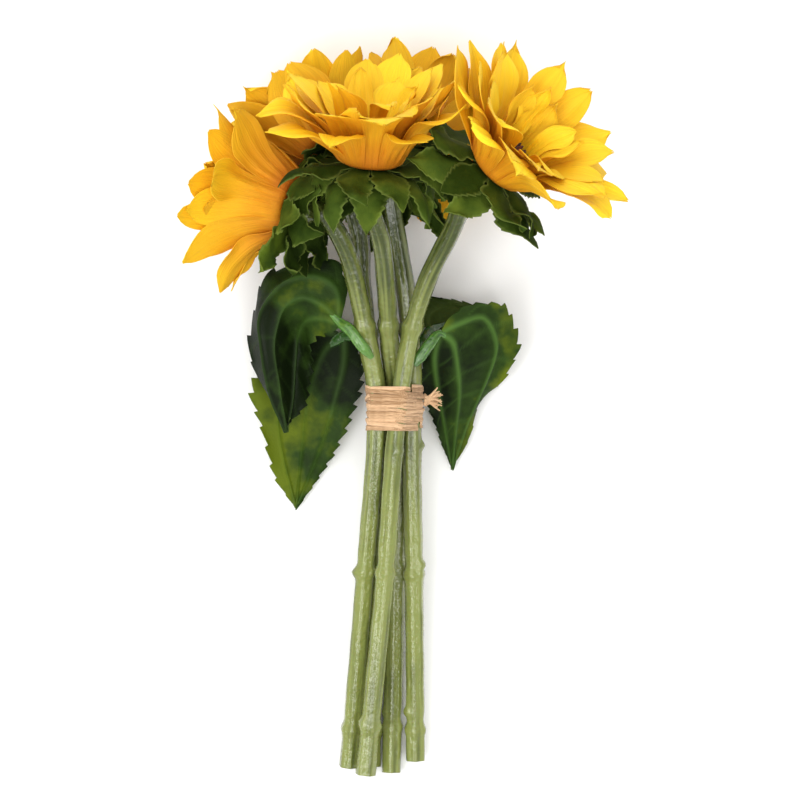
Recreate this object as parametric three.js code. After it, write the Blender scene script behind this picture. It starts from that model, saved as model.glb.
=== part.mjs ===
/**
 * A tied bouquet of five fabric sunflowers, lying on a surface.
 *
 * Millimetres. +Y runs from the cut stem ends to the flowers, +X is to the right when the bouquet is
 * seen from above with the flowers away from the viewer, and +Z is up. Every flower is built in its own
 * frame: a root point where the petals are threaded on the stem's pin, and an axis that points out of
 * the face of the flower.
 */
import * as THREE from 'three';
import { mergeVertices } from 'three/addons/utils/BufferGeometryUtils.js';

// ------------------------------------------------------------------ driving sizes
const ORIGIN = new THREE.Vector3(-1.2, 165.2, 0);  // from the work frame to the middle of the footprint
const CLOTH = 0.8;            // thickness of a petal or sepal
const LAYER_PITCH = 1.5;      // spacing of the layers along the pin
const DISC_RADIUS = 11;
const DISC_RISE = 9.5;
const HUB_HOLE = 3.1;
const PIN_RADIUS = 2.6;
const CUP_RADIUS = 7.5;
const STEM_RADIUS = 4.15;
const STEM_SIDES = 8;
const NODE_SWELL = 1.0;       // how far a node ring stands out from its stem
const LEAF_THICKNESS = 1.0;
const PETIOLE_RADIUS = 1.7;
const FOLD_CHANGE = [0.3, 0.55];  // shares of a leaf's length between which its fold changes
const TIE_LOW = 153.2;        // the raffia band, from here to TIE_HIGH along Y
const TIE_HIGH = 174.4;
const TIE_THICKNESS = 0.9;
const TIE_CLEARANCE = 0.35;
const WALL_GAP = 0.5;         // half the gap between the cells of two flowers
const STEER_MARGIN = 11;      // a petal starts to bend this far from the wall of its cell
const RANK_CLEARANCE = 1.8;   // what each inner layer keeps more than the one outside it
const SOFT_MARGIN = 2.2;
const CELL_REACH = 18;        // a flower's cell is centred this far out along its axis
const AZIMUTHS = 72;          // the layers of a flower are worked out at this many azimuths
const SMOOTHING = 3;          // and evened out over this many to each side
const BEND_STEPS = 24;
const CURL_MIDDLE = 0.45;     // the share of a petal's length where its curl leaves it unturned
const LENGTH_RANGE = 0.05;    // how much the petals of a layer differ in length

// ------------------------------------------------------------------ finishes
const FINISH = {
  petal: { color: 0xf8b60a, roughness: 0.75 },
  petalInner: { color: 0xf9c01c, roughness: 0.75 },
  sepal: { color: 0x5d6b2a, roughness: 0.7 },
  seed: { color: 0x4a2312, roughness: 0.95 },
  stem: { color: 0x84904e, roughness: 0.35 },
  leaf: { color: 0x33481c, roughness: 0.6 },
  petiole: { color: 0x56803a, roughness: 0.4 },
  raffia: { color: 0xcca884, roughness: 0.85 },
};

// ------------------------------------------------------------------ the flowers
// root and axis place a flower, turn starts its first petal, and claim is its strength against the others
// where they meet. opening adds to the elevations of the three layers of petals. lift raises the petals on
// the side liftAt, then those on that side and the opposite one together, and its last number says how much
// more each inner layer is raised on the side liftAt. curl bends the upper petals outwards along their
// length. All are in degrees. droop is how far the sepals hang back, as a share.
const FLOWERS = [
  { name: 'front', root: [-13, 271, 87], axis: [0.08, 0.95, 0.3], turn: 5, claim: 1.7,
    opening: [-2, -3, -3], lift: [10, 2, -3], liftAt: 108, curl: 60, droop: 1 },
  { name: 'right', root: [41, 269, 91], axis: [0.68, 0.6, 0.42], turn: 14, claim: 1.5,
    opening: [-8, -4, 0], lift: [-4, 0, -7], liftAt: 0, curl: 50, droop: 0.35 },
  { name: 'left', root: [-46.4, 253, 60], axis: [-0.85, 0.25, -0.46], turn: 10, claim: 1,
    opening: [0, 0, 0], lift: [-4, 0, -7], liftAt: 0, curl: 30, droop: 0.68 },
  { name: 'upper', root: [-31.5, 276, 34.8], axis: [-0.4, 0.78, -0.48], turn: 15, claim: 1,
    opening: [-18, -14, -10], lift: [0, 0, 0], liftAt: 0, curl: 0, droop: 0.55 },
  { name: 'back', root: [-1, 273, 30], axis: [0.25, 0.6, -0.76], turn: 8, claim: 1,
    opening: [0, 0, 0], lift: [12, 0, 0], liftAt: 200, curl: 0, droop: 0.6 },
];

// root is the radius where the petals leave the ring; start and end are their elevations above the plane
// of the ring, at root and tip; least and most are how far the neighbours may press them.
const LAYERS = [
  { name: 'sepals_lower', level: -2.9, root: 13.4, rank: 0, count: 7, length: 30, width: 16, start: -12,
    end: -86, least: -80, most: 40, finish: 'sepal', rows: 3 },
  { name: 'sepals_upper', level: -1.1, root: 14, rank: 0.5, count: 7, length: 28, width: 16, start: 6,
    end: -44, least: -70, most: 48, finish: 'sepal', rows: 3 },
  { name: 'petals_outer', level: 0, root: 13.8, rank: 0.8, count: 12, length: 46, width: 17, start: 62,
    end: 18, least: -80, most: 100, finish: 'petal', rows: 3 },
  { name: 'petals_middle', level: 1, root: 12.6, rank: 1.7, count: 12, length: 46, width: 17, start: 70,
    end: 34, least: -70, most: 104, finish: 'petal', rows: 3 },
  { name: 'petals_inner', level: 2, root: 11.4, rank: 2.6, count: 9, length: 38, width: 14, start: 78,
    end: 50, least: -60, most: 108, finish: 'petalInner', rows: 3 },
];
const FIRST_PETALS = 2;       // the layers from here on are petals

// ------------------------------------------------------------------ the stems
// Each stem runs from its cut end through these points to the neck of its flower.
const STEMS = {
  right: [[-15.4, 0, 14], [-11, 45, 21.8], [-6.6, 90, 29.6], [-2, 150, 38.2], [0.6, 172, 41],
    [5.3, 198, 46.5], [13, 222, 57], [23, 242, 70]],
  left: [[-22.9, 3, 6], [-19.4, 45, 14.2], [-15.6, 90, 22.2], [-10.6, 150, 33.2], [-10.6, 172, 37],
    [-14.5, 193, 43.5], [-18, 212, 51], [-22.5, 230, 59], [-27.5, 241, 64]],
  back: [[6.8, 6, 7], [6.6, 45, 13.4], [6.1, 90, 20.6], [5.2, 150, 29.2], [5.6, 172, 31.5],
    [4.4, 195, 33.7], [2.2, 218, 36.5], [-2, 243, 39.5]],
  front: [[-4, 0.4, 4.7], [-2.8, 45, 6.6], [-1.8, 90, 12.2], [-0.4, 150, 22.2], [-2.4, 172, 28],
    [-4.8, 195, 38.6], [-6, 215, 51.5], [-8.5, 238, 70]],
  upper: [[-13.2, 3, 4.7], [-12.4, 45, 6.6], [-10.9, 90, 12.2], [-9.3, 150, 23.4], [-10.8, 172, 27.4],
    [-14.2, 195, 31], [-17, 218, 34], [-18.4, 243, 36.6]],
};
const STEM_NODES = [{ y: 20, swell: 0.8 }, { y: 91, swell: 1 }, { y: 198, swell: 0.8 }];

// ------------------------------------------------------------------ the leaves
// rib is the midrib from the petiole to the tip, face a direction that the blade's face looks to, fold how
// far its two halves are raised, near the petiole and towards the tip, and roll how far the blade is turned
// at the petiole and at the tip. Both are in degrees.
const LEAVES = [
  { name: 'left_upper', width: 38, fold: [4, -48], roll: [10, 0], face: [0, 0.1, 1], teeth: 9,
    petiole: [[-14, 184, 47.4], [-18.5, 192, 50.8], [-23, 199, 49], [-27, 202, 45.8]],
    rib: [[-27.7, 202.5, 45.3], [-38, 209.5, 43], [-48, 211, 42], [-54, 204, 40.5], [-55.5, 189, 38],
      [-53.5, 168, 34], [-49, 152, 31]] },
  { name: 'left_lower', width: 50, fold: [8, 8], roll: [0, 0], face: [0, 0, 1], teeth: 12,
    petiole: [[-18.9, 195.2, 30], [-21.4, 195.8, 28.6], [-24, 196.2, 27]],
    rib: [[-24.8, 196, 26.6], [-33, 191, 22], [-40, 178, 17.5], [-43.5, 157, 11], [-46.6, 118.2, 2.6]] },
  { name: 'right', width: 47, fold: [10, 12], roll: [15, 8], face: [0.1, 0, 1], teeth: 10,
    petiole: [[8.2, 184.8, 41], [12.5, 191, 40], [16, 196.3, 39.2]],
    rib: [[17.7, 198, 38.5], [25, 197, 36], [31.3, 189, 29], [32, 174, 19.5], [28, 155, 11],
      [23.3, 136.4, 4]] },
  { name: 'behind', width: 26, fold: [8, 8], roll: [0, 0], face: [0, 0, 1], teeth: 6,
    petiole: [[8.2, 190, 28.3], [10.6, 194, 25.6], [13.1, 197.3, 21.7]],
    rib: [[13.8, 198.1, 20.9], [20, 201.5, 17], [30, 203, 12], [43, 199, 6]] },
];

// ------------------------------------------------------------------ small helpers
const rad = THREE.MathUtils.degToRad;
const mix = THREE.MathUtils.lerp;
const vec = (list) => new THREE.Vector3(...list);

/** A repeatable number from -1 to 1 for item i of series seed. */
function wobble(i, seed) {
  const s = Math.sin(12.9898 * i + 78.233 * seed) * 43758.5453;
  return 2 * (s - Math.floor(s)) - 1;
}

/** Moves every vertex of a closed three.js geometry with place(point) and turns it the right way out. */
function reshape(geometry, place) {
  geometry.deleteAttribute('normal');
  geometry.deleteAttribute('uv');
  const merged = mergeVertices(geometry, 1e-4);
  const position = merged.getAttribute('position');
  const point = new THREE.Vector3();
  for (let i = 0; i < position.count; i += 1) {
    const moved = place(point.fromBufferAttribute(position, i));
    position.setXYZ(i, moved.x, moved.y, moved.z);
  }
  if (signedVolume(merged) < 0) merged.index.array.reverse();
  return merged;
}

function signedVolume(geometry) {
  const position = geometry.getAttribute('position');
  const index = geometry.index.array;
  const corner = [0, 1, 2].map(() => new THREE.Vector3());
  let sum = 0;
  for (let i = 0; i < index.length; i += 3) {
    corner.forEach((c, k) => c.fromBufferAttribute(position, index[i + k]));
    sum += corner[0].dot(corner[1].cross(corner[2]));
  }
  return sum;
}

function named(name, finish, geometry) {
  const material = new THREE.MeshStandardMaterial({ ...FINISH[finish], metalness: 0 });
  const mesh = new THREE.Mesh(geometry, material);
  mesh.name = name;
  return mesh;
}

/** Stations along a curve, with a frame at each: tangent, up (towards +Z on a level run) and side. */
function stationsAlong(points, count, from = 0, to = 1) {
  const curve = new THREE.CatmullRomCurve3(points.map(vec), false, 'centripetal');
  return Array.from({ length: count + 1 }, (_, i) => {
    const t = mix(from, to, i / count);
    return { point: curve.getPointAt(t), tangent: curve.getTangentAt(t), t };
  });
}

function addFrame(station) {
  const up = new THREE.Vector3(1, 0, 0).cross(station.tangent).normalize();
  const side = new THREE.Vector3().crossVectors(station.tangent, up);
  return { ...station, up, side };
}

/** A closed round bar through the stations, each with its own radius. */
function bar(stations, sides) {
  const frames = stations.map(addFrame);
  const rows = frames.length - 1;
  return reshape(new THREE.CylinderGeometry(1, 1, 1, sides, rows), (p) => {
    const f = frames[Math.round((0.5 - p.y) * rows)];
    return f.point.clone().addScaledVector(f.up, p.z * f.radius).addScaledVector(f.side, p.x * f.radius);
  });
}

// ------------------------------------------------------------------ flowers
/** The frame of a flower: root, axis, the direction front nearest to straight up, and side. */
function flowerFrame(flower) {
  const axis = vec(flower.axis).normalize();
  const front = new THREE.Vector3(0, 0, 1).addScaledVector(axis, -axis.z).normalize();
  const side = new THREE.Vector3().crossVectors(front, axis).negate();
  return { root: vec(flower.root), axis, front, side };
}

function cellCentre(flower) {
  const { root, axis } = flowerFrame(flower);
  return root.addScaledVector(axis, CELL_REACH);
}

/** The walls of a flower's cell: between it and every other flower, and the surface that all lie on. */
function cellWalls(flower) {
  const own = cellCentre(flower);
  const between = FLOWERS.filter((other) => other !== flower).map((other) => {
    const normal = cellCentre(other).sub(own);
    const reach = (normal.length() * flower.claim) / (flower.claim + other.claim);
    normal.normalize();
    return { normal, offset: normal.dot(own) + reach - WALL_GAP };
  });
  return [...between, { normal: new THREE.Vector3(0, 0, -1), offset: 0 }];
}

/** How far to turn a petal so that it runs along a wall that it comes near. A sepal turns back. */
function steer(layer, angle, across, along, room, closing) {
  const phase = Math.atan2(across, along);
  const heading = Math.atan2(Math.sin(angle + phase), Math.cos(angle + phase));
  const closes = heading > Math.PI / 2 && layer.level >= 0;
  if (heading <= 0 || closes !== closing) return 0;
  const strength = THREE.MathUtils.clamp((STEER_MARGIN - room) / STEER_MARGIN, 0, 1.15);
  return ((closing ? Math.PI : 0) - heading) * strength;
}

/** Runs out along a layer from its ring; bend(i, r, h) gives the elevation at step i. */
function followLayer(layer, bend) {
  const step = (layer.length * (1 + LENGTH_RANGE)) / BEND_STEPS;
  let r = layer.root;
  let h = layer.level * LAYER_PITCH;
  return Array.from({ length: BEND_STEPS + 1 }, (_, i) => {
    const at = { r, h, angle: bend(i, r, h) };
    r += step * Math.cos(at.angle);
    h += step * Math.sin(at.angle);
    return at;
  });
}

function radialAt(frame, azimuth) {
  return frame.front.clone().multiplyScalar(Math.cos(azimuth))
    .addScaledVector(frame.side, Math.sin(azimuth));
}

/**
 * The elevations along every layer at one azimuth. The walls beside the flower close the layers, which is
 * worked out from the outer one inwards; the walls that it faces open them, worked out the other way. No
 * layer is ever flatter than the one outside it, so that they never cross.
 */
function layerAngles(flower, frame, walls, azimuth) {
  const radial = radialAt(frame, azimuth);
  const from = azimuth - rad(flower.liftAt);
  const [first, both, more] = flower.lift;
  const angles = LAYERS.map((layer, k) => {
    const inward = k - FIRST_PETALS;
    const lift = (first + more * Math.max(inward, 0)) * Math.cos(from) + both * Math.cos(2 * from);
    const opening = inward < 0 ? 0 : flower.opening[inward];
    const curl = inward < 0 ? 0 : flower.curl * Math.max(Math.cos(azimuth), 0) ** 2;
    const end = layer.end * (inward < 0 ? flower.droop : 1);
    return Array.from({ length: BEND_STEPS + 1 }, (_, i) => {
      const share = (i / BEND_STEPS) ** 1.15;
      return rad(opening + lift + mix(layer.start, end, share) + curl * (CURL_MIDDLE - share));
    });
  });
  const press = (layer, clearance, closing, limit) => {
    const planned = angles[LAYERS.indexOf(layer)];
    return followLayer(layer, (i, r, h) => {
      const turned = walls.reduce((angle, wall) => {
        const across = wall.normal.dot(radial);
        const along = wall.normal.dot(frame.axis);
        const room = wall.offset - wall.normal.dot(frame.root) - across * r - along * h;
        return angle + steer(layer, angle, across, along, room - clearance, closing);
      }, planned[i]);
      const least = layer.least * (layer.level < 0 ? flower.droop : 1);
      return THREE.MathUtils.clamp(limit(turned, i), rad(least), rad(layer.most));
    }).map((at) => at.angle);
  };
  for (let k = 0; k < LAYERS.length; k += 1) {
    const limit = (angle, i) => (k > 0 ? Math.max(angle, angles[k - 1][i]) : angle);
    angles[k] = press(LAYERS[k], LAYERS[k].rank * RANK_CLEARANCE, true, limit);
  }
  for (let k = LAYERS.length - 1; k >= 0; k -= 1) {
    const limit = (angle, i) => (k < LAYERS.length - 1 ? Math.min(angle, angles[k + 1][i]) : angle);
    angles[k] = press(LAYERS[k], (LAYERS.at(-1).rank - LAYERS[k].rank) * RANK_CLEARANCE, false, limit);
  }
  return angles;
}

/** The layers of a flower as nested surfaces: [layer][azimuth][step] gives radius, height and elevation. */
function layerSurfaces(flower, frame, walls) {
  const turn = (2 * Math.PI) / AZIMUTHS;
  const angles = Array.from({ length: AZIMUTHS }, (_, a) => layerAngles(flower, frame, walls, a * turn));
  const reach = Array.from({ length: 2 * SMOOTHING + 1 }, (_, j) => j - SMOOTHING);
  const even = (a, k, i) => reach.reduce((sum, j) => (
    sum + angles[(a + j + AZIMUTHS) % AZIMUTHS][k][i] / reach.length), 0);
  return LAYERS.map((layer, k) => angles.map((_, a) => followLayer(layer, (i) => even(a, k, i))));
}

/** The point of a nested surface at an azimuth and a share of the longest petal's length. */
function surfaceAt(surface, azimuth, share) {
  const a = THREE.MathUtils.euclideanModulo(azimuth / (2 * Math.PI), 1) * AZIMUTHS;
  const i = Math.min(share * BEND_STEPS, BEND_STEPS - 1e-6);
  const [a0, i0] = [Math.floor(a), Math.floor(i)];
  const value = (key) => {
    const along = (row) => mix(row[i0][key], row[i0 + 1][key], i - i0);
    return mix(along(surface[a0 % AZIMUTHS]), along(surface[(a0 + 1) % AZIMUTHS]), a - a0);
  };
  return { r: value('r'), h: value('h'), angle: value('angle') };
}

/** Half width of a petal as a share of its widest, from root (0) to tip (1). */
function petalOutline(u) {
  if (u < 0.5) return 0.36 + 0.64 * Math.sin(Math.PI * u);
  return 0.1 + 0.9 * (1 - (2 * u - 1) ** 2) ** 0.8;
}

/** Keeps a point inside the walls, softly, so that no face is folded over. */
function holdInside(point, walls) {
  for (const wall of walls) {
    const room = wall.offset - wall.normal.dot(point);
    if (room < SOFT_MARGIN) {
      point.addScaledVector(wall.normal, room - SOFT_MARGIN * Math.exp(room / SOFT_MARGIN - 1));
    }
  }
  return point;
}

/** The points of one petal, as rows of top and bottom points from its root to its tip. */
function petalPoints(flower, frame, walls, surface, layer, index) {
  const azimuth = petalAzimuth(flower, layer, index);
  const share = (1 + LENGTH_RANGE * wobble(index, layerSeed(flower, layer) + 2)) / (1 + LENGTH_RANGE);
  const surfacePoint = (u, v, side) => {
    const half = 0.5 * layer.width * petalOutline(u);
    const spread = Math.min(half / surfaceAt(surface, azimuth, u * share).r, 0.46 * sector(layer));
    const at = surfaceAt(surface, azimuth + v * spread, u * share);
    const lean = u > 0 ? at.angle : at.angle / 2;
    const point = frame.root.clone()
      .addScaledVector(radialAt(frame, azimuth + v * spread), at.r - side * 0.5 * CLOTH * Math.sin(lean))
      .addScaledVector(frame.axis, at.h + side * 0.5 * CLOTH * Math.cos(lean));
    return holdInside(point, walls);
  };
  const row = (u, side) => [-1, 0, 1].map((v) => surfacePoint(u, v, side));
  return Array.from({ length: layer.rows + 1 }, (_, i) => {
    const u = i / layer.rows;
    return { top: row(u, 1), bottom: row(u, -1) };
  });
}

function sector(layer) {
  return (2 * Math.PI) / layer.count;
}

function layerSeed(flower, layer) {
  return FLOWERS.indexOf(flower) * LAYERS.length + LAYERS.indexOf(layer) + 1;
}

function petalAzimuth(flower, layer, index) {
  return rad(flower.turn + 3 * wobble(index, layerSeed(flower, layer)))
    + sector(layer) * (index + 0.5 * LAYERS.indexOf(layer));
}

/** A closed die-cut layer: a ring threaded on the pin, with a petal in every sector. */
function dieCut(flower, frame, layer, petals) {
  const corners = [];
  const faces = [];
  const add = (point) => corners.push(point) - 1;
  const quad = (a, b, c, d) => faces.push(a, b, c, a, c, d);
  const sectors = petals.map((rows, index) => {
    const azimuth = petalAzimuth(flower, layer, index) - sector(layer) / 2;
    const holePoint = (side) => frame.root.clone()
      .addScaledVector(radialAt(frame, azimuth), HUB_HOLE)
      .addScaledVector(frame.axis, layer.level * LAYER_PITCH + side * CLOTH / 2);
    return {
      hole: { top: add(holePoint(1)), bottom: add(holePoint(-1)) },
      rows: rows.map((row) => ({ top: row.top.map(add), bottom: row.bottom.map(add) })),
    };
  });
  sectors.forEach(({ hole, rows }, index) => {
    const next = sectors[(index + 1) % sectors.length];
    const { top, bottom } = rows[0];
    const after = next.rows[0];
    faces.push(hole.top, top[0], top[1], hole.top, top[1], next.hole.top);
    faces.push(next.hole.top, top[1], top[2], next.hole.top, top[2], after.top[0]);
    faces.push(hole.bottom, bottom[1], bottom[0], hole.bottom, next.hole.bottom, bottom[1]);
    faces.push(next.hole.bottom, bottom[2], bottom[1], next.hole.bottom, after.bottom[0], bottom[2]);
    quad(hole.top, next.hole.top, next.hole.bottom, hole.bottom);
    quad(top[2], bottom[2], after.bottom[0], after.top[0]);
    for (let i = 1; i < rows.length; i += 1) {
      const [low, high] = [rows[i - 1], rows[i]];
      for (const k of [0, 1]) {
        quad(low.top[k], high.top[k], high.top[k + 1], low.top[k + 1]);
        quad(low.bottom[k], low.bottom[k + 1], high.bottom[k + 1], high.bottom[k]);
      }
      quad(low.top[0], low.bottom[0], high.bottom[0], high.top[0]);
      quad(low.top[2], high.top[2], high.bottom[2], low.bottom[2]);
    }
    const tip = rows.at(-1);
    for (const k of [0, 1]) quad(tip.top[k], tip.bottom[k], tip.bottom[k + 1], tip.top[k + 1]);
  });
  const geometry = new THREE.BufferGeometry().setFromPoints(corners);
  geometry.setIndex(new THREE.BufferAttribute(Uint32Array.from(faces), 1));
  if (signedVolume(geometry) < 0) geometry.index.array.reverse();
  return geometry;
}

/** From a turned shape's own frame, with Y on its axis, to the flower's. */
function inFlower(frame, p) {
  return frame.root.clone().addScaledVector(frame.front, p.z).addScaledVector(frame.side, p.x)
    .addScaledVector(frame.axis, p.y);
}

function layerMesh(flower, frame, walls, surface, layer) {
  const petals = Array.from({ length: layer.count }, (_, index) => (
    petalPoints(flower, frame, walls, surface, layer, index)));
  return named(`${flower.name}_${layer.name}`, layer.finish, dieCut(flower, frame, layer, petals));
}

function seedDisc(flower, frame) {
  const base = 3 * LAYER_PITCH - 0.4;
  const dome = [[0, 0], [0.97, 0], [1, 0.18], [0.9, 0.55], [0.62, 0.86], [0.3, 0.98], [0, 1]];
  const profile = dome.map(([x, y]) => new THREE.Vector2((DISC_RADIUS - 1) * x, base + DISC_RISE * y));
  const shape = reshape(new THREE.LatheGeometry(profile, 16), (p) => inFlower(frame, p));
  return named(`${flower.name}_seed_disc`, 'seed', shape);
}

// ------------------------------------------------------------------ stems
/** The radius of a stem at height y on the bunch: a ring at each node, a little fatter at the foot. */
function stemRadius(y) {
  const rings = STEM_NODES.map((n) => n.swell * NODE_SWELL * Math.exp(-(((y - n.y) / 2.4) ** 2)));
  return STEM_RADIUS + rings.reduce((a, b) => a + b) + 0.2 * Math.max(0, 1 - y / 60);
}

function stem(flower, frame) {
  const alongAxis = (h) => frame.root.clone().addScaledVector(frame.axis, h);
  const cupTop = LAYERS[0].level * LAYER_PITCH - CLOTH / 2 - 0.4;
  const route = [...STEMS[flower.name], alongAxis(-15).toArray(), alongAxis(cupTop - 2.5).toArray()];
  const shaft = stationsAlong(route, 20).map((s) => ({ ...s, radius: stemRadius(s.point.y) }));
  const top = [[cupTop - 1.6, CUP_RADIUS * 0.85], [cupTop, CUP_RADIUS], [cupTop, PIN_RADIUS],
    [3 * LAYER_PITCH - 0.9, PIN_RADIUS]];
  const crown = top.map(([h, radius]) => ({ point: alongAxis(h), tangent: frame.axis, radius }));
  return named(`${flower.name}_stem`, 'stem', bar([...shaft, ...crown], STEM_SIDES));
}

// ------------------------------------------------------------------ leaves
function leafOutline(u, teeth) {
  const body = Math.sin(Math.PI * Math.min(1, u ** 0.55)) ** 0.62;
  const tooth = 1 - 0.1 * ((u * teeth) % 1);
  return Math.max(0.04, body * tooth);
}

function leafBlade(leaf) {
  const rows = leaf.teeth * 2;
  const stations = stationsAlong(leaf.rib, rows);
  const face = vec(leaf.face).normalize();
  return reshape(new THREE.BoxGeometry(2, 1, LEAF_THICKNESS, 4, rows, 1), (p) => {
    const u = p.y + 0.5;
    const s = stations[Math.round(u * rows)];
    const across = new THREE.Vector3().crossVectors(s.tangent, face).normalize();
    const normal = new THREE.Vector3().crossVectors(across, s.tangent);
    const roll = rad(mix(leaf.roll[0], leaf.roll[1], u));
    across.applyAxisAngle(s.tangent, roll);
    normal.applyAxisAngle(s.tangent, roll);
    const half = 0.5 * leaf.width * leafOutline(u, leaf.teeth);
    const towardsTip = THREE.MathUtils.smoothstep(u, ...FOLD_CHANGE);
    const fold = rad(mix(leaf.fold[0], leaf.fold[1], towardsTip)) * Math.abs(p.x);
    return s.point.clone().addScaledVector(across, p.x * half * Math.cos(fold))
      .addScaledVector(normal, p.z + Math.abs(p.x) * half * Math.sin(fold));
  });
}

function petiole(leaf) {
  const stations = stationsAlong(leaf.petiole, 6).map((s) => ({ ...s, radius: PETIOLE_RADIUS }));
  return bar(stations, 8);
}

// ------------------------------------------------------------------ the raffia tie
/** Where the stems' middles are at height y. */
function stemMiddles(y) {
  return FLOWERS.map((flower) => {
    const curve = new THREE.CatmullRomCurve3(STEMS[flower.name].map(vec), false, 'centripetal');
    let [low, high] = [0, 1];
    for (let i = 0; i < 40; i += 1) {
      const t = (low + high) / 2;
      if (curve.getPoint(t).y < y) low = t;
      else high = t;
    }
    return curve.getPoint(low);
  });
}

/** The band follows the outline of the bundle: the furthest stem in each direction carries it. */
function raffiaBand() {
  const levels = [TIE_LOW, (TIE_LOW + TIE_HIGH) / 2, TIE_HIGH].map((y) => ({ y, m: stemMiddles(y) }));
  const profile = [[1, 0], [2, 0], [2, 1], [2, 2], [1, 2], [1, 1], [1, 0]]
    .map(([x, y]) => new THREE.Vector2(x, y));
  return reshape(new THREE.LatheGeometry(profile, 40), (p) => {
    const wall = Math.round(Math.hypot(p.x, p.z)) - 1;
    const level = levels[Math.round(p.y)];
    const out = new THREE.Vector3(p.x, 0, p.z).normalize();
    const reach = (m) => m.x * out.x + m.z * out.z;
    const carrier = level.m.reduce((a, b) => (reach(b) > reach(a) ? b : a));
    const radius = STEM_RADIUS + TIE_CLEARANCE + 0.15 + wall * TIE_THICKNESS;
    return new THREE.Vector3(carrier.x + out.x * radius, level.y, carrier.z + out.z * radius);
  });
}

function raffiaKnot() {
  return reshape(new THREE.SphereGeometry(1, 8, 6), (p) => {
    const lump = 1 + 0.12 * Math.sin(5 * Math.atan2(p.z, p.y));
    return new THREE.Vector3(14.8 + 3.7 * p.x * lump, 167.4 + 5 * p.y * lump, 30 + 3.2 * p.z * lump);
  });
}

// ------------------------------------------------------------------ the bouquet
function buildBouquet() {
  const bouquet = new THREE.Group();
  bouquet.position.copy(ORIGIN).negate();
  for (const flower of FLOWERS) {
    const frame = flowerFrame(flower);
    const walls = cellWalls(flower);
    bouquet.add(stem(flower, frame), seedDisc(flower, frame));
    const surfaces = layerSurfaces(flower, frame, walls);
    bouquet.add(...LAYERS.map((layer, k) => layerMesh(flower, frame, walls, surfaces[k], layer)));
  }
  for (const leaf of LEAVES) {
    bouquet.add(named(`${leaf.name}_leaf_blade`, 'leaf', leafBlade(leaf)));
    bouquet.add(named(`${leaf.name}_leaf_petiole`, 'petiole', petiole(leaf)));
  }
  bouquet.add(named('raffia_band', 'raffia', raffiaBand()));
  bouquet.add(named('raffia_knot', 'raffia', raffiaKnot()));
  return bouquet;
}

const root = new THREE.Group();
root.add(buildBouquet());
export default root;
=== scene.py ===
"""The looks of a tied bouquet of five fabric sunflowers that lies on its side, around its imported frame.

Places are given in millimetres on the bunch's own rule, on which the raffia tie is at TIE_MIDDLE, and
place() takes them to the frame through the box of the tie's node.
"""

import logging
import math
from dataclasses import dataclass
from enum import Enum
from typing import Callable, Sequence

import bpy
import numpy as np
from bpy.types import Material, Node, NodeSocket, NodeTree, Object
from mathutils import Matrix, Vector


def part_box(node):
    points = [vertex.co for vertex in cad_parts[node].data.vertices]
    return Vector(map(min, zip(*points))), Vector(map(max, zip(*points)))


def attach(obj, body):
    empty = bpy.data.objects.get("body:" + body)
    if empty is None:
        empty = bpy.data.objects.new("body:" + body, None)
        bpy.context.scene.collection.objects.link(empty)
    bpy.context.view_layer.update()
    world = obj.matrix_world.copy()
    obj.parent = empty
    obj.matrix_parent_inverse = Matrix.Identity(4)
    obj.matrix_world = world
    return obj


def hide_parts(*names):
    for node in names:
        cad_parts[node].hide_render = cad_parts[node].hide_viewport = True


log = logging.getLogger("bouquet")
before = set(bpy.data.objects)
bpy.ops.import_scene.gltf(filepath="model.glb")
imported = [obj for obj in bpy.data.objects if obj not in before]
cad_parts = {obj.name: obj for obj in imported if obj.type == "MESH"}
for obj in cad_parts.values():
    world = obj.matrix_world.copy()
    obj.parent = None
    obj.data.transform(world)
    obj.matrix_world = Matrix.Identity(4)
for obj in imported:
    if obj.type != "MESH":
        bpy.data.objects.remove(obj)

Pair = tuple[float, float]
Triple = tuple[float, float, float]

MM = 0.001
TIE_MIDDLE = np.array([-2.767, 163.8, 32.146])
TAU = 2 * math.pi
WOBBLE = (12.9898, 78.233, 43758.5453)
DENSE_STEPS = 40
UV_MARGIN = 0.01
# In metres: the height of what lies on the floor, how softly the floor presses, and the welding distances.
FLOOR_GAP = 0.0004
FLOOR_PRESS = 0.0006
TUBE_WELD = 1e-7
DISC_WELD = 1e-6
# Nothing is pressed that is this many times FLOOR_PRESS above the floor.
PRESS_REACH = 30
# In degrees: faces that meet at less than this are shaded as one surface.
CLOTH_ANGLE = 60
MOULDED_ANGLE = 50


# ---------------------------------------------------------------- numbers
def place(points: np.ndarray) -> np.ndarray:
    """Takes points from the bunch's rule to the frame.

    Args:
        points: Points in millimetres, as rows.

    Returns:
        The points in metres, in the frame.
    """
    low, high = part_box("raffia_band")
    middle = np.array((low + high) / 2)
    return (np.asarray(points, float) - TIE_MIDDLE) * MM + middle


def wobble(item: float, series: float) -> float:
    """A repeatable number from -1 to 1 for an item of a series."""
    by_item, by_series, scale = WOBBLE
    s = math.sin(by_item * item + by_series * series) * scale
    return 2 * (s - math.floor(s)) - 1


def unit(vector: Sequence[float]) -> np.ndarray:
    """The vector at length 1."""
    v = np.asarray(vector, float)
    return v / np.linalg.norm(v)


def smoothstep(low: float, high: float, x: np.ndarray) -> np.ndarray:
    """0 below low, 1 above high and a smooth rise between."""
    t = np.clip((x - low) / (high - low), 0, 1)
    return t * t * (3 - 2 * t)


def bump(x: np.ndarray, middle: float, width: float) -> np.ndarray:
    """A smooth bump, 1 high at the middle and down to 0.37 a width from it."""
    return np.exp(-((x - middle) / width) ** 2)


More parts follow.
